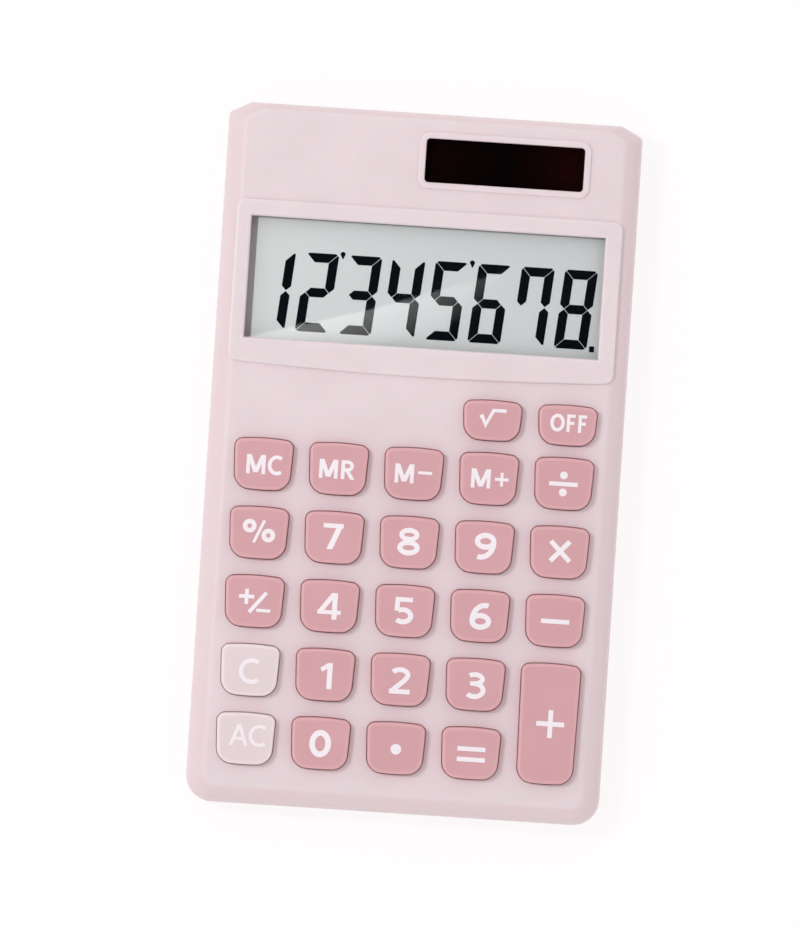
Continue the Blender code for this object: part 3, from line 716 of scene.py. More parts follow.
def letter_c(left, right, low, high, pen):
    """A capital C."""
    opening = 52
    radius_x = (right - left - pen / 2) / (1 + math.cos(math.radians(opening)))
    centre = (left + pen / 2 + radius_x, (low + high) / 2)
    return ribbon(arc(centre, radius_x, (high - low - pen) / 2, opening, 360 - opening), pen)


def letter_f(left, low, high):
    """A capital F."""
    pen = 0.54
    return (bar((left, left + pen), (low, high)) + bar((left, left + 1.42), (high - pen, high))
            + bar((left, left + 1.28), (high - 1.75, high - 1.75 + pen)))


def letter_r(left, low, high):
    """A capital R."""
    pen, loop = 0.58, 0.66
    # The bowl's top lies a hair under the stem's, so that the two edges never coincide
    crown = high - pen / 2 - 0.002
    bowl = [(left + 0.2, crown), (left + 1.1, crown)]
    bowl += arc((left + 1.1, crown - loop), 0.72, loop, 84, -84, 14)
    bowl += [(left + 1.1, crown - 2 * loop), (left + 0.2, crown - 2 * loop)]
    return (bar((left, left + 0.62), (low, high)) + ribbon(bowl, pen)
            + leaning((left + 1.98, low), (left + 1.0, high - 1.7), 0.72))


def letter_a(left, right, low, high):
    """A capital A."""
    pen, middle = 0.62, (left + right) / 2
    return (leaning((left + pen / 2, low), (middle, high), pen)
            + leaning((right - pen / 2, low), (middle, high), pen)
            + bar((left + 0.7, right - 0.7), (low + 0.95, low + 1.42)))


def digit_six():
    """The shape of a 6, which a half turn makes into a 9."""
    return (ring((0.19, -0.86), 1.38, 0.98, 0.9)
            + ribbon(arc((0.93, -0.6), 2.12, 2.46, 184, 76), 0.88))


def half_turn(polygons, centre):
    """Polygons turned by half a turn about a point."""
    return [tuple((2 * centre[0] - x, 2 * centre[1] - y) for x, y in polygon)
            for polygon in polygons]


def cross(centre, reach, pen):
    """A plus sign."""
    x, y = centre
    return (bar((x - reach, x + reach), (y - pen / 2, y + pen / 2))
            + bar((x - pen / 2, x + pen / 2), (y - reach, y + reach)))


LEGENDS = {
    "key_square_root": ribbon([(-2.1, 0.46), (-1.72, 0.68), (-1.1, -0.77), (0.12, 1.73),
                               (2.3, 1.73)], 0.58),
    "key_off": (ring((-1.7, 0.4), 0.94, 1.22, 0.58) + letter_f(-0.13, -1.1, 1.9)
                + letter_f(1.8, -1.1, 1.9)),
    "key_memory_clear": letter_m(-2.8, 0.42, -1.7, 1.55) + letter_c(0.8, 3.1, -1.76, 1.61, 0.62),
    "key_memory_recall": letter_m(-3.2, -0.05, -1.65, 1.55) + letter_r(0.5, -1.65, 1.55),
    "key_memory_minus": letter_m(-3.12, 0.1, -1.62, 1.62) + bar((0.8, 3.15), (0.03, 0.53)),
    "key_memory_plus": letter_m(-2.92, 0.35, -1.62, 1.62) + cross((2.24, 0.03), 1.16, 0.5),
    "key_divide": (bar((-2.45, 2.4), (-0.4, 0.32)) + disc((-0.05, 1.43), 0.66)
                   + disc((-0.05, -1.45), 0.66)),
    "key_percent": (ring((-1.57, 1.1), 0.77, 0.77, 0.78) + ring((1.67, -0.37), 0.77, 0.77, 0.78)
                    + ribbon([(-0.75, -1.7), (0.9, 2.15)], 0.5)),
    "key_7": bar((-1.82, 1.57), (1.62, 2.38)) + leaning((-0.62, -1.98), (1.07, 2.2), 1.0),
    "key_8": ring((0.0, 1.32), 1.28, 0.76, 0.84) + ring((0.0, -0.86), 1.46, 0.88, 0.88),
    "key_9": half_turn(digit_six(), (0.2, 0.11)),
    "key_multiply": (ribbon([(-1.5, 1.86), (1.85, -1.45)], 0.82)
                     + ribbon([(-1.42, -1.5), (1.7, 1.92)], 0.82)),
    "key_change_sign": (cross((-1.3, 0.78), 1.3, 0.62) + bar((0.45, 2.85), (-1.74, -1.2))
                        + ribbon([(-0.75, -1.88), (2.02, 1.58)], 0.64)),
    "key_4": (bar((0.5, 1.36), (-2.2, 2.28)) + bar((-1.95, 2.02), (-1.34, -0.66))
              + leaning((-1.35, -0.72), (0.86, 2.28), 1.0)),
    "key_5": (bar((-1.58, 1.34), (1.58, 2.35)) + leaning((-1.28, 0.02), (-1.17, 2.3), 0.82)
              + ribbon(arc((-0.22, -0.78), 1.34, 1.03, 128, -138), 0.84)),
    "key_6": digit_six(),
    "key_minus": bar((-2.3, 2.5), (-0.45, 0.32)),
    "key_clear": letter_c(-1.8, 1.5, -2.35, 2.02, 0.72),
    "key_1": (bar((0.4, 1.28), (-2.35, 2.06))
              + [((-0.82, 1.16), (-0.46, 0.52), (0.6, 1.2), (1.0, 2.06), (0.52, 2.06))]),
    "key_2": (ribbon(arc((-0.02, 0.82), 1.34, 0.9, 152, -12) + [(0.82, -0.02), (-1.25, -1.9)], 0.84)
              + bar((-1.74, 1.8), (-2.38, -1.58))),
    "key_3": (ribbon(arc((-0.05, 0.98), 1.24, 0.76, 138, -90), 0.8)
              + ribbon(arc((-0.05, -0.9), 1.48, 1.1, 90, -140), 0.82)
              + bar((-0.85, 0.0), (-0.18, 0.58))),
    "key_all_clear": letter_a(-2.7, 0.52, -1.2, 2.42) + letter_c(0.58, 3.35, -1.24, 2.46, 0.55),
    "key_0": ring((0.0, 0.0), 1.35, 1.82, 0.98),
    "key_decimal": disc((0.1, -0.12), 0.9),
    "key_equals": bar((-2.25, 2.5), (0.36, 1.12)) + bar((-2.25, 2.5), (-1.42, -0.66)),
    "key_plus": cross((0.4, 0.02), 2.36, 0.8),
}


# Pieces

def band_height(share):
    """How high the case's soft band stands at a share of its width in from the side wall."""
    rise = (1 - (1 - share) ** 1.5) ** 0.3166
    return FRONT_RIM + (PLATE_TOP - FRONT_RIM) * rise


def quarter_turns(steps):
    """The cosine and sine of even steps through a quarter turn."""
    turns = [math.pi / 2 * step / steps for step in range(steps + 1)]
    return [(math.cos(turn), math.sin(turn)) for turn in turns]


def round_edge(outline_at, start, reach, top):
    """Rings of a round edge that rises to height top and moves the outline out by reach."""
    return [at_height(outline_at(start + reach * (1 - cosine)), top - abs(reach) * (1 - sine))
            for cosine, sine in quarter_turns(EDGE_STEPS)]


def softened(outline_at, bottom, top, edge, start):
    """Rings of a wall with a round upper edge. outline_at(grow) is its outline, grown by start."""
    return [at_height(outline_at(start), bottom)] + round_edge(outline_at, start, -edge, top)


def flared(outline_at, bottom, top, edge, start, draft=0.0):
    """Rings of a cutter that rounds over the edge of the hole it makes, up to height top."""
    return [at_height(outline_at(start - draft), bottom),
            *round_edge(outline_at, start, edge, top),
            at_height(outline_at(start + edge + 0.05), top + 0.8)]


def screw_centres(kind):
    """The places of the four screws of one kind."""
    return [centre_of(f"{kind}_screw_{number}") for number in range(1, 5)]


def solar_outline(grow):
    """The outline of the opening over the solar cell, moved outwards by grow."""
    size = [side - 2 * SOLAR_LEDGE for side in extent_of("solar_window")]
    return grown_rectangle(centre_of("solar_cell"), size, grow, 0.9 + grow)


def outer_form():
    """The front shell's outside: the soft band, the display surround and the solar rim."""
    rings = [at_height(case_outline(*[EDGE_BREAK] * 3), FRONT_RIM)]
    for number in range(BAND_RINGS + 1):
        share = (number / BAND_RINGS) ** 2.0
        outline = case_outline(BAND_SIDE * share, BAND_BOTTOM * share, BAND_TOP * share)
        rings.append(at_height(outline, max(band_height(share), FRONT_RIM + EDGE_BREAK)))
    surround = loft(softened(bezel_outline, PLATE_TOP - 1.0, BEZEL_TOP, 0.42, 0.3))
    rim = softened(solar_outline, PLATE_TOP - 0.5, SOLAR_RIM_TOP, 0.3, SOLAR_RIM_WIDTH + 0.12)
    return combined(combined(loft(rings), "UNION", surround), "UNION", loft(rim))


def front_hollow():
    """The space inside the front shell, with a skirt at its rim for the lap joint."""
    skirt = LAP_INSET - CLEARANCE
    return loft([at_height(case_outline(side, bottom, top), z) for side, bottom, top, z in (
        (skirt, skirt, skirt, FRONT_RIM - 1.0),
        (skirt, skirt, skirt, LAP_TOP + CLEARANCE),
        (WALL, WALL, WALL, LAP_TOP + CLEARANCE),
        (WALL + 0.2, WALL + 0.2, WALL, 6.8),
        (2.9, 2.9, WALL + 0.5, PLATE_BOTTOM),
    )])


def front_bosses():
    """Screw bosses, and holders for the solar cell and the button cell, under the key face."""
    bosses = bmesh.new()
    into_plate = PLATE_BOTTOM + OVERLAP
    boss_bottom = {"case": FRONT_RIM, "board": node_box("circuit_board")[1].z + CLEARANCE}
    for kind, radius in BOSS_RADIUS.items():
        for centre in screw_centres(kind):
            prism(circle(centre, radius), boss_bottom[kind], into_plate, bosses)
    low, high = node_box("solar_cell")
    solar_y = centre_of("solar_cell")[1]
    y = (solar_y - SOLAR_HOLDER_HALF_LENGTH, solar_y + SOLAR_HOLDER_HALF_LENGTH)
    for x in ((low.x - CLEARANCE - HOLDER_WALL, low.x - CLEARANCE),
              (high.x + CLEARANCE, high.x + CLEARANCE + HOLDER_WALL)):
        box(x, y, (SOLAR_HOLDER_BOTTOM, into_plate), bosses)
    battery = centre_of("button_cell")
    reach = extent_of("button_cell")[0] / 2 + CLEARANCE
    post_z = (node_box("battery_cover")[1].z + CLEARANCE + 0.1, into_plate)
    for x, y in (((-reach - HOLDER_WALL, -reach), (-1.5, 1.5)),
                 ((reach + 0.6, reach + 0.6 + HOLDER_WALL), (-1.5, 1.5)),
                 ((-2.0, 2.0), (reach, reach + HOLDER_WALL))):
        box([battery[0] + value for value in x], [battery[1] + value for value in y], post_z,
            bosses)
    return bosses


def front_openings():
    """Cutters for the key holes, the two windows and the screws' pilot holes."""
    openings = bmesh.new()
    for name in KEY_NAMES:
        centre = key_centre(name)
        loft(flared(lambda grow: moved(key_outline(name, grow), centre),
                    PLATE_BOTTOM - OVERSHOOT, PLATE_TOP, KEY_HOLE_FLARE, KEY_HOLE_GAP), openings)
    pane_centre = centre_of("display_window")
    opening = [side - 2 * ledge for side, ledge in zip(extent_of("display_window"), PANE_LEDGE)]
    loft(flared(lambda grow: grown_rectangle(pane_centre, opening, grow),
                PLATE_BOTTOM + 1.0, BEZEL_TOP, DISPLAY_FLARE, -0.1, 0.3), openings)
    loft(flared(solar_outline, PLATE_BOTTOM + 0.6, SOLAR_RIM_TOP, SOLAR_FLARE, -0.2, 0.1),
         openings)
    for kind, radius in PILOT_RADIUS.items():
        for centre in screw_centres(kind):
            prism(circle(centre, radius), PILOT_BOTTOM[kind], PILOT_TOP, openings)
    return openings


def make_front_shell(surface):
    """Upper shell: soft band, raised surrounds, rounded openings, bosses and cell holders."""
    shell = combined(outer_form(), "DIFFERENCE", front_hollow())
    shell = combined(shell, "UNION", front_bosses())
    shell = combined(shell, "DIFFERENCE", front_openings())
    seats = bmesh.new()
    for name in ("display_window", "solar_window"):
        seat = grown_rectangle(centre_of(name), extent_of(name), CLEARANCE)
        prism(seat, PLATE_BOTTOM - OVERSHOOT, node_box(name)[1].z + CLEARANCE, seats)
    shell = combined(shell, "DIFFERENCE", seats)
    make_piece("front_shell", shell, surface, "case", ["front_case"])


def rear_form():
    """The rear case's outer form, without its hollow."""
    steps = [(REAR_CURVE_INSET * (1 - sine), FLOOR_BOTTOM + REAR_CURVE_HEIGHT * (1 - cosine))
             for cosine, sine in quarter_turns(REAR_CURVE_RINGS)]
    steps += [(0.0, REAR_RIM - EDGE_BREAK), (EDGE_BREAK, REAR_RIM)]
    return loft([at_height(case_outline(*[inset] * 3), z) for inset, z in steps])


def slide_profile(half, tongue_half, low, high):
    """The slot's or the cover's section across X, from under the floor to its tongues' top."""
    profile = [(half, FLOOR_BOTTOM - OVERSHOOT), (half, low), (tongue_half, low),
               (tongue_half, high)]
    profile += [(-x, z) for x, z in reversed(profile)]
    return [(BATTERY_X + x, z) for x, z in profile]


def rear_inner_walls():
    """Screw pillars, ribs under the board and the two side walls of the battery bay."""
    inner = bmesh.new()
    bottom = FLOOR_TOP - OVERLAP
    for centre in screw_centres("case"):
        prism(circle(centre, PILLAR_RADIUS), bottom, REAR_RIM, inner)
    board_low, board_high = node_box("circuit_board")
    for y in RIB_PLACES:
        box((-RIB_HALF_LENGTH, RIB_HALF_LENGTH), (y - RIB_HALF_WIDTH, y + RIB_HALF_WIDTH),
            (bottom, board_low.z - CLEARANCE), inner)
    near, far = BATTERY_WALL
    for x in ((BATTERY_X - far, BATTERY_X - near), (BATTERY_X + near, BATTERY_X + far)):
        box(x, (board_high.y + CLEARANCE, BATTERY_WALL_END_Y), (bottom, board_high.z - 0.1), inner)
    return inner


def make_rear_shell(surface):
    """Lower shell: lap lip, pillars, ribs, a wall round the button cell and the cover's slot."""
    lip = prism(case_outline(*[LAP_INSET] * 3), REAR_RIM - 1.0, LAP_TOP)
    hollow = prism(case_outline(*[WALL] * 3), FLOOR_TOP, LAP_TOP + 1.0)
    shell = combined(combined(rear_form(), "UNION", lip), "DIFFERENCE", hollow)
    shell = combined(shell, "UNION", rear_inner_walls())
    board_high = node_box("circuit_board")[1]
    half_width = sum(BATTERY_WALL) / 2
    end_wall = box((BATTERY_X - half_width, BATTERY_X + half_width),
                   (board_high.y + CLEARANCE, COVER_END_Y - CLEARANCE),
                   (FLOOR_TOP - OVERLAP, board_high.z - 0.1))
    shell = combined(shell, "UNION", end_wall)

    cuts = bmesh.new()
    for centre in screw_centres("case"):
        turned(centre, ((SCREW_HEAD_HOLE + 0.35, FLOOR_BOTTOM - 0.3),
                        (SCREW_HEAD_HOLE, FLOOR_BOTTOM + 0.12), (SCREW_HEAD_HOLE, SCREW_SEAT),
                        (SCREW_SHAFT_HOLE, SCREW_SEAT), (SCREW_SHAFT_HOLE, REAR_RIM + OVERSHOOT)),
               cuts)
    for number in range(1, 5):
        foot = f"rubber_foot_{number}"
        radius = extent_of(foot)[0] / 2 + CLEARANCE
        turned(centre_of(foot), ((radius + 0.3, FLOOR_BOTTOM - 0.3), (radius, FLOOR_BOTTOM + 0.1),
                                 (radius, node_box(foot)[1].z + CLEARANCE)), cuts)
    section = slide_profile(COVER_HALF_WIDTH + CLEARANCE, TONGUE_HALF_WIDTH + CLEARANCE,
                            TONGUE_BOTTOM - CLEARANCE, TONGUE_TOP + CLEARANCE)
    loft([[(x, y, z) for x, z in section]
          for y in (CASE_HALF_Y + 1.0, COVER_END_Y - CLEARANCE)], cuts)
    shell = combined(shell, "DIFFERENCE", cuts)
    make_piece("rear_shell", shell, surface, "case", ["rear_case"])


def make_battery_door(surface):
    """Sliding cover: the case's own outer form between two tongues, with a ribbed thumb patch."""
    section = slide_profile(COVER_HALF_WIDTH, TONGUE_HALF_WIDTH, TONGUE_BOTTOM, TONGUE_TOP)
    slide = loft([[(x, y, z) for x, z in section] for y in (2 * CASE_HALF_Y, COVER_END_Y)])
    door = combined(rear_form(), "INTERSECT", slide)
    cuts = box((BATTERY_X - COVER_HOLLOW_HALF_WIDTH, BATTERY_X + COVER_HOLLOW_HALF_WIDTH),
               (COVER_END_Y - 1.0, COVER_HOLLOW_END_Y), (FLOOR_BOTTOM + 1.0, TONGUE_TOP + 1.0))
    for groove in range(GRIP_GROOVES):
        centre = (BATTERY_X, GRIP_FIRST_Y - GRIP_PITCH * groove)
        loft([at_height(rectangle(centre, (width, depth), depth / 2 - 0.01, 8), FLOOR_BOTTOM + z)
              for width, depth, z in ((7.3, 0.9, -0.1), (7.0, 0.6, 0.08), (6.8, 0.4, 0.28))], cuts)
    door = combined(door, "DIFFERENCE", cuts)
    make_piece("battery_door", door, surface, "battery_cover_body", ["battery_cover"])


def key_mesh(name):
    """A key cap: flange, skirt, round rim and flat top, with how much painted rim highlight each
    point gets.
    """
    mesh = bmesh.new()
    rim_highlight_layer = mesh.verts.layers.float.new("rim")
    # Each ring is how far it stands out from the cap's outline, its height, and its share of
    # painted rim highlight
    rings = [(KEY_FLANGE, KEY_FLANGE_BOTTOM, 0.0), (KEY_FLANGE, KEY_FLANGE_TOP, 0.0),
             (KEY_SHOULDER, KEY_FLANGE_TOP, 0.0), (KEY_SHOULDER, PLATE_TOP - 0.3, 0.0),
             (0.0, PLATE_TOP + 0.05, 0.3)]
    rings += [(-KEY_EDGE_WIDTH * (1 - cosine), KEY_TOP - 0.05 - KEY_EDGE_DROP * (1 - sine), 0.7)
              for cosine, sine in quarter_turns(KEY_EDGE_STEPS)]
    rings += [(-KEY_EDGE_WIDTH - 0.08, KEY_TOP - 0.04, 0.5),
              (-KEY_EDGE_WIDTH - 0.18, KEY_TOP - 0.03, 0.0)]
    loft([at_height(key_outline(name, grow), z) for grow, z, _ in rings], mesh)
    mesh.verts.ensure_lookup_table()
    per_ring = len(mesh.verts) // len(rings)
    for number, point in enumerate(mesh.verts):
        point[rim_highlight_layer] = rings[number // per_ring][2]
    return mesh


def make_keys(rose, pale, ink):
    """Every key cap and its printed legend, both riding on the key's own body."""
    for name in KEY_NAMES:
        centre = key_centre(name)
        body = f"{name}_body"
        shift = Matrix.Translation((centre[0] * MM, centre[1] * MM, 0.0))
        cap = key_mesh(name)
        cap.transform(shift)
        is_pale = name in PALE_KEYS
        make_piece(f"{name}_cap", cap, pale if is_pale else rose, body,
                   [name])
        legend = flat_union(LEGENDS[name], KEY_TOP - 0.06, KEY_TOP - 0.005)
        legend.transform(shift)
        make_piece(f"{name}_legend", legend, ink, body)


def make_key_mat(rubber):
    """The silicone sheet, and under each key a hollow dome."""
    low, high = node_box("key_mat")
    sheet = box((low.x, high.x), (low.y, high.y), (low.z, MAT_TOP))
    holes = bmesh.new()
    rounds = [(centre, MAT_SCREW_HOLE_RADIUS) for centre in screw_centres("board")]
    rounds += [(key_centre(name), DOME_HOLLOW_RADIUS) for name in KEY_NAMES]
    for centre, radius in rounds:
        prism(circle(centre, radius), low.z - OVERSHOOT, MAT_TOP + OVERSHOOT, holes)
    sheet = combined(sheet, "DIFFERENCE", holes)
    make_piece("key_mat_sheet", sheet, rubber, "case", ["key_mat"])
    for name in KEY_NAMES:
        x, y = key_centre(name)
        # From the hollow's ceiling down its inside, out along the sheet and up the outside
        dome = turned((x, y), (
            (DOME_HOLLOW_RADIUS - 0.5, high.z - 0.6), (DOME_HOLLOW_RADIUS, MAT_TOP),
            (DOME_RADIUS, MAT_TOP), (DOME_RADIUS - 0.2, MAT_TOP + 0.15),
            (DOME_TOP_RADIUS + 0.15, high.z - 0.1), (DOME_TOP_RADIUS, high.z)))
        made = make_piece(f"{name}_dome", dome, rubber, "case")
        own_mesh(made)


def digit_segments():
    """A seven-segment digit as upright polygons round its centre, named a to g."""
    half_x, half_y, pen, gap, cut = 2.78, 6.68, 1.56, 0.06, 0.5
    inner_x, inner_y = half_x - pen, half_y - pen
    top = [(half_x - cut, half_y), (half_x - (gap + cut) / 2, half_y - (cut - gap) / 2),
           (inner_x - gap, inner_y)]
    top += [(-x, y) for x, y in reversed(top)]
    right = [(half_x, half_y - cut), (half_x - (cut - gap) / 2, half_y - (cut + gap) / 2),
             (inner_x, inner_y - gap), (inner_x, pen / 2 + gap), (half_x - pen / 2, gap),
             (half_x, pen / 2)]
    middle = [(inner_x - gap, pen / 2), (half_x - pen / 2 - 1.4 * gap, 0.0),
              (inner_x - gap, -pen / 2)]
    middle += [(-x, y) for x, y in reversed(middle)]

    def flipped(polygon, x_sign, y_sign):
        return [(x * x_sign, y * y_sign) for x, y in polygon]

    return {"a": top, "b": right, "c": flipped(right, 1, -1), "d": flipped(top, 1, -1),
            "e": flipped(right, -1, -1), "f": flipped(right, -1, 1), "g": middle}


LIT_SEGMENTS = {"1": "bc", "2": "abged", "3": "abgcd", "4": "fgbc", "5": "afgcd", "6": "afgcde",
                "7": "abcf", "8": "abcdefg"}
MARKED_DIGITS = "25"


def make_display_glass(grey, glass):
    """The liquid-crystal panel's two glass plates and the silver film on them; the film stops short
    at the left and top, so darker glass shows there as a painted shadow of the window's walls.
    """
    low, high = node_box("lcd_panel")
    centre, size = centre_of("lcd_panel"), extent_of("lcd_panel")
    ledge = LOWER_GLASS_LEDGE
    upper_centre, upper_size = (centre[0], centre[1] + ledge / 2), (size[0], size[1] - ledge)
    split, film_bottom = (low.z + high.z) / 2, high.z - FILM_THICKNESS
    lower = prism(rectangle(centre, size, 0.2, 3), low.z, split)
    upper = prism(rectangle(upper_centre, upper_size, 0.2, 3), split - 0.1, film_bottom)
    plates = combined(lower, "UNION", upper)
    make_piece("lcd_glass_plates", plates, glass, "case", ["lcd_panel"])
    pane_low, pane_high = node_box("display_window")
    # The film stops short at the left and top, so the darker glass shows there as a painted shadow
    sheet_left = pane_low.x + PANE_LEDGE[0] + DISPLAY_SHADOW_BORDER[0]
    sheet_top = pane_high.y - PANE_LEDGE[1] - DISPLAY_SHADOW_BORDER[1]
    sheet_right, sheet_bottom = high.x - 0.3, low.y + ledge + 0.3
    sheet_centre = ((sheet_left + sheet_right) / 2, (sheet_bottom + sheet_top) / 2)
    sheet_size = (sheet_right - sheet_left, sheet_top - sheet_bottom)
    sheet = prism(rectangle(sheet_centre, sheet_size, 0.2, 3), film_bottom,
                  high.z - SEGMENT_THICKNESS)
    make_piece("lcd_polariser", sheet, grey, "case")


def make_display_digits(ink):
    """The lit segments, the marks between thousands and the decimal point."""
    shapes = digit_segments()
    polygons = []
    for place, digit in enumerate(LIT_SEGMENTS):
        x_centre = LAST_DIGIT_X - (len(LIT_SEGMENTS) - 1 - place) * DIGIT_PITCH
        for letter in LIT_SEGMENTS[digit]:
            leaned = [(x + y * DIGIT_LEAN, y) for x, y in shapes[letter]]
            polygons.append(moved(leaned, (x_centre, DIGIT_CENTRE_Y)))
        if digit in MARKED_DIGITS:
            mark = (x_centre + 3.98, DIGIT_CENTRE_Y + 6.75)
            tail = [(-0.42, 0.1), (-0.1, -0.75), (0.12, -0.8), (0.42, 0.1)]
            polygons += [circle(mark, 0.42, 16), moved(tail, mark)]
    point = (LAST_DIGIT_X + 3.1, DIGIT_CENTRE_Y - 6.5)
    polygons.append(rectangle(point, (0.85, 1.0)))
    top = node_box("lcd_panel")[1].z
    segments = flat_union(polygons, top - SEGMENT_THICKNESS, top)
    make_piece("lcd_segments", segments, ink, "case")


# Head radius, head height, shaft radius and thread pitch of each kind of screw
SCREWS = {"case": (1.7, 1.1, 0.9, 0.6), "board": (1.4, 0.7, 0.6, 0.5)}


def screw_profile(bottom, top, head_radius, head_height, shaft_radius, pitch):
    """A screw's (radius, height) profile: a shallow domed head below, then a threaded shaft."""
    root = shaft_radius - 0.12
    head_top = bottom + head_height
    profile = [(head_radius * 0.55, bottom), (head_radius - 0.25, bottom + 0.07),
               (head_radius - 0.05, bottom + 0.22), (head_radius, bottom + 0.35),
               (head_radius, head_top), (root, head_top)]
    z = head_top + 0.3
    while z + pitch < top - 0.5:
        profile += [(root, z), (shaft_radius, z + pitch * 0.3), (root, z + pitch * 0.6)]
        z += pitch
    return profile + [(shaft_radius * 0.4, top)]


def cross_recess(centre, arm, bottom):
    """The tool that cuts a screw head's cross recess, narrower inside."""
    half = 0.2
    outline = [(arm, -half), (arm, half), (half, half), (half, arm), (-half, arm), (-half, half),
               (-arm, half), (-arm, -half), (-half, -half), (-half, -arm), (half, -arm),
               (half, -half)]
    return loft([at_height(moved([(x * share, y * share) for x, y in outline], centre), z)
                 for share, z in ((1.0, bottom - 0.3), (1.0, bottom + 0.1), (0.8, bottom + 0.45))])


def make_screws(steel):
    """Case and board screws."""
    for kind, sizes in SCREWS.items():
        for number in range(1, 5):
            name = f"{kind}_screw_{number}"
            centre = centre_of(name)
            low, high = node_box(name)
            screw = turned(centre, screw_profile(low.z, high.z, *sizes), sides=32)
            recess = cross_recess(centre, sizes[0] * 0.6, low.z)
            screw = combined(screw, "DIFFERENCE", recess)
            make_piece(f"{name}_threaded", screw, steel, "case", [name])


def make_feet(rubber):
    """Four rubber feet with a rounded edge and a shallow dished face."""
    for number in range(1, 5):
        name = f"rubber_foot_{number}"
        low, high = node_box(name)
        radius = extent_of(name)[0] / 2
        foot = turned(centre_of(name), (
            (radius - 1.2, low.z + 0.06), (radius - 0.9, low.z + 0.02), (radius - 0.6, low.z),
            (radius - 0.3, low.z), (radius - 0.12, low.z + 0.06), (radius - 0.03, low.z + 0.15),
            (radius, low.z + 0.3), (radius, high.z)))
        make_piece(f"{name}_pad", foot, rubber, "case", [name])


def make_button_cell(steel):
    """The button cell: can, crimped shoulder and smaller raised pole."""
    low, high = node_box("button_cell")
    radius = extent_of("button_cell")[0] / 2
    cell = turned(centre_of("button_cell"), (
        (radius - 0.4, low.z), (radius - 0.12, low.z + 0.08), (radius, low.z + 0.3),
        (radius, high.z - 0.65), (radius - 0.08, high.z - 0.42), (radius - 0.3, high.z - 0.32),
        (radius - 0.6, high.z - 0.3), (radius - 1.0, high.z - 0.32), (radius - 1.05, high.z - 0.1),
        (radius - 1.3, high.z)), sides=72)
    make_piece("button_cell_can", cell, steel, "case", ["button_cell"])


def dress(names, surface):
    """Gives carried-over CAD nodes a material."""
    for name in names:
        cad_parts[name].data.materials.clear()
        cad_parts[name].data.materials.append(surface)


# Stage

CAMERA_DISTANCE = 2500.0
CAMERA_ROLL = 3.77
# Length of the view's longer side, and the point of the calculator in its middle
VIEW_LENGTH = 156.916
AIM = (-2.36, -0.2)
SENSOR = 36.0
LIGHT_AZIMUTH = 160.0
LIGHT_ELEVATION = 59.0
LIGHT_DISTANCE = 900.0
LIGHT_WIDTH = 110.0
LIGHT_WATTS = 2.15
SKY_STRENGTH = 0.89
SKY_LEAN = 0.03
CARD_HEIGHT = 300.0
# The mirrored wedge in the window: x, y and brightness, in pairs on its upper and lower side
WEDGE = ((-30.4, 19.3, 3.4), (-30.4, 18.8, 3.4), (-9.5, 25.35, 2.3), (-12.0, 17.7, 0.9),
         (13.0, 33.2, 0.5), (8.0, 25.5, 0.0))


def make_camera():
    """A long lens straight above, turned a little so that the calculator leans to the right."""
    data = bpy.data.cameras.new("camera")
    camera = add_object("camera", data)
    bpy.context.scene.camera = camera
    data.sensor_width = SENSOR
    data.lens = SENSOR * CAMERA_DISTANCE / VIEW_LENGTH
    data.clip_start = 0.05
    data.clip_end = 20.0
    camera.location = Vector((*AIM, CAMERA_DISTANCE + REAR_RIM)) * MM
    camera.rotation_euler = (0.0, 0.0, math.radians(CAMERA_ROLL))


def make_light():
    """A soft box from the upper left."""
    data = bpy.data.lights.new("soft_box", "AREA")
    data.shape = "SQUARE"
    data.size = LIGHT_WIDTH * MM
    data.energy = LIGHT_WATTS
    light = add_object("soft_box", data)
    azimuth, elevation = math.radians(LIGHT_AZIMUTH), math.radians(LIGHT_ELEVATION)
    towards = Vector((math.cos(azimuth) * math.cos(elevation),
                      math.sin(azimuth) * math.cos(elevation), math.sin(elevation)))
    light.location = towards * LIGHT_DISTANCE * MM
    light.rotation_euler = towards.to_track_quat("Z", "Y").to_euler()


def make_sky():
    """A white studio, brighter on the light's side and dark straight overhead, at the camera."""
    world = bpy.data.worlds.new("studio")
    bpy.context.scene.world = world
    world.use_nodes = True
    nodes, links = world.node_tree.nodes, world.node_tree.links
    direction = new_node(nodes, "TexCoord").outputs["Generated"]

    def towards(axis):
        """How far the direction of view leans towards an axis."""
        dot = new_node(nodes, "VectorMath")
        dot.operation = "DOT_PRODUCT"
        dot.inputs[1].default_value = axis
        links.new(direction, dot.inputs[0])
        return dot.outputs["Value"]

    opening = new_node(nodes, "MapRange", From_Min=math.cos(math.radians(24.0)),
                       From_Max=math.cos(math.radians(14.0)), To_Min=SKY_STRENGTH, To_Max=0.0)
    links.new(towards((0.0, 0.0, 1.0)), opening.inputs["Value"])
    azimuth = math.radians(LIGHT_AZIMUTH)
    lean = new_node(nodes, "Math")
    lean.operation = "MULTIPLY_ADD"
    lean.inputs[1].default_value = SKY_LEAN
    lean.inputs[2].default_value = 1.0
    links.new(towards((math.cos(azimuth), math.sin(azimuth), 0.0)), lean.inputs[0])
    strength = new_node(nodes, "Math")
    strength.operation = "MULTIPLY"
    links.new(opening.outputs["Result"], strength.inputs[0])
    links.new(lean.outputs[0], strength.inputs[1])
    links.new(strength.outputs[0], nodes["Background"].inputs["Strength"])
    nodes["Background"].inputs["Color"].default_value = (1.0, 1.0, 1.0, 1.0)


def make_floor():
    """A plain pale floor that gives a little light of its own, like a light table."""
    mesh = bmesh.new()
    bmesh.ops.create_grid(mesh, x_segments=8, y_segments=8, size=3.0)
    floor = add_mesh("floor", mesh)
    surface = Surface("floor_white", (112, 112, 112), 0.9)
    surface.set("Specular IOR Level", 0.0)
    surface.set("Emission Color", rgba((255, 252, 253)))
    surface.set("Emission Strength", 0.85)
    floor.data.materials.append(surface.material)


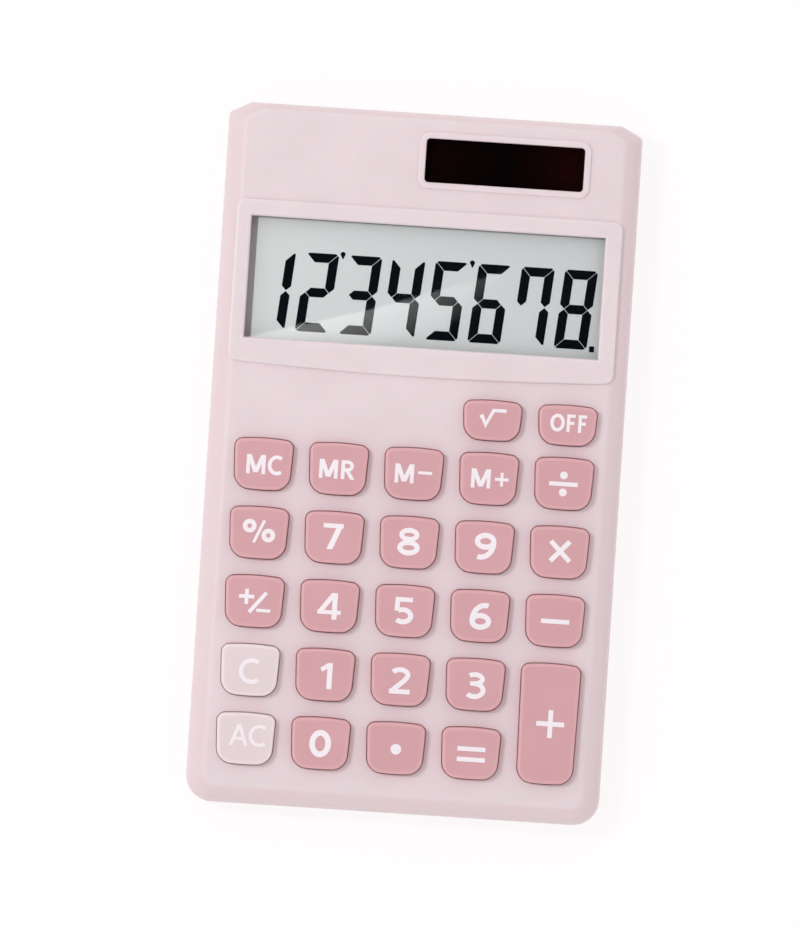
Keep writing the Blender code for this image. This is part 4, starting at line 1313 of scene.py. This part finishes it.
def make_reflected_card():
    """A bright card overhead that only the display's clear window mirrors, as a slanting wedge."""
    window_top = node_box("display_window")[1].z
    stretch = (CARD_HEIGHT - window_top) / (CAMERA_DISTANCE + REAR_RIM - window_top)
    mesh = bmesh.new()
    fade = mesh.verts.layers.float.new("fade")
    corners = []
    for x, y, brightness in WEDGE:
        place = (x + (x - AIM[0]) * stretch, y + (y - AIM[1]) * stretch, CARD_HEIGHT)
        corners.append(mesh.verts.new(Vector(place) * MM))
        corners[-1][fade] = brightness
    for quad in range(len(corners) // 2 - 1):
        mesh.faces.new(corners[2 * quad + turn] for turn in (0, 2, 3, 1))
    card = add_mesh("reflected_card", mesh)
    for ray in ("camera", "diffuse", "shadow", "transmission", "volume_scatter"):
        setattr(card, f"visible_{ray}", False)
    surface = Surface("card_glow", (0, 0, 0), 1.0)
    surface.set("Emission Color", rgba((255, 255, 255)))
    surface.drive("Emission Strength", surface.attribute("fade"))
    card.data.materials.append(surface.material)


def main():
    """Make the materials, the pieces, the camera, the light and the floor."""
    bpy.context.scene.view_settings.view_transform = "Standard"
    case_plastic = moulded("case_plastic", CASE_PINK, 0.48, glow=0.4, side_shade_colour=CASE_PINK_SHADED)
    steel = metal("nickel_steel", (196, 196, 198), 0.3)
    silicone = rubbery("silicone", (218, 212, 208), 0.55)
    make_front_shell(case_plastic)
    make_rear_shell(case_plastic)
    make_battery_door(case_plastic)
    make_keys(moulded("rose_plastic", KEY_ROSE, 0.5, glow=0.15, rim_highlight_colour=KEY_RIM_HIGHLIGHT_ROSE),
              moulded("pale_plastic", KEY_PALE, 0.5, glow=0.15, rim_highlight_colour=KEY_RIM_HIGHLIGHT_PALE),
              moulded("legend_ink", LEGEND_WHITE, 0.45, 0.001))
    make_key_mat(silicone)
    # The glass plates' darker grey stands in for the window walls' shadow where it shows past the
    # film
    make_display_glass(display_surface(),
                       moulded("lcd_glass_shadow_grey", (198, 188, 190), 0.3, 0.0, sheen=0.2))
    make_display_digits(moulded("lcd_ink", (16, 18, 23), 0.5, 0.0, sheen=0.0))
    make_screws(steel)
    make_feet(rubbery("foot_rubber", (88, 84, 86), 0.85))
    make_button_cell(steel)
    dress(["battery_contact_negative", "battery_contact_positive"], steel)
    dress(["display_window"], clear_pane("window_acrylic", (252, 253, 253)))
    dress(["solar_window"], clear_pane("solar_acrylic", (236, 222, 224)))
    dress(["solar_cell"], solar_surface())
    dress(["circuit_board"], board_surface())
    dress(["chip_cover", "diode"], moulded("epoxy", (22, 22, 24), 0.35, 0.01))
    dress(["capacitor", "resistor"], moulded("ceramic", (176, 150, 118), 0.55, 0.01))
    dress(["lcd_connector_strip"], silicone)
    dress(["solar_wire_red"], moulded("red_insulation", (178, 30, 34), 0.4, 0.002))
    dress(["solar_wire_black"], moulded("black_insulation", (26, 26, 28), 0.4, 0.002))
    make_camera()
    make_light()
    make_sky()
    make_floor()
    make_reflected_card()


main()
bpy.context.view_layer.update()
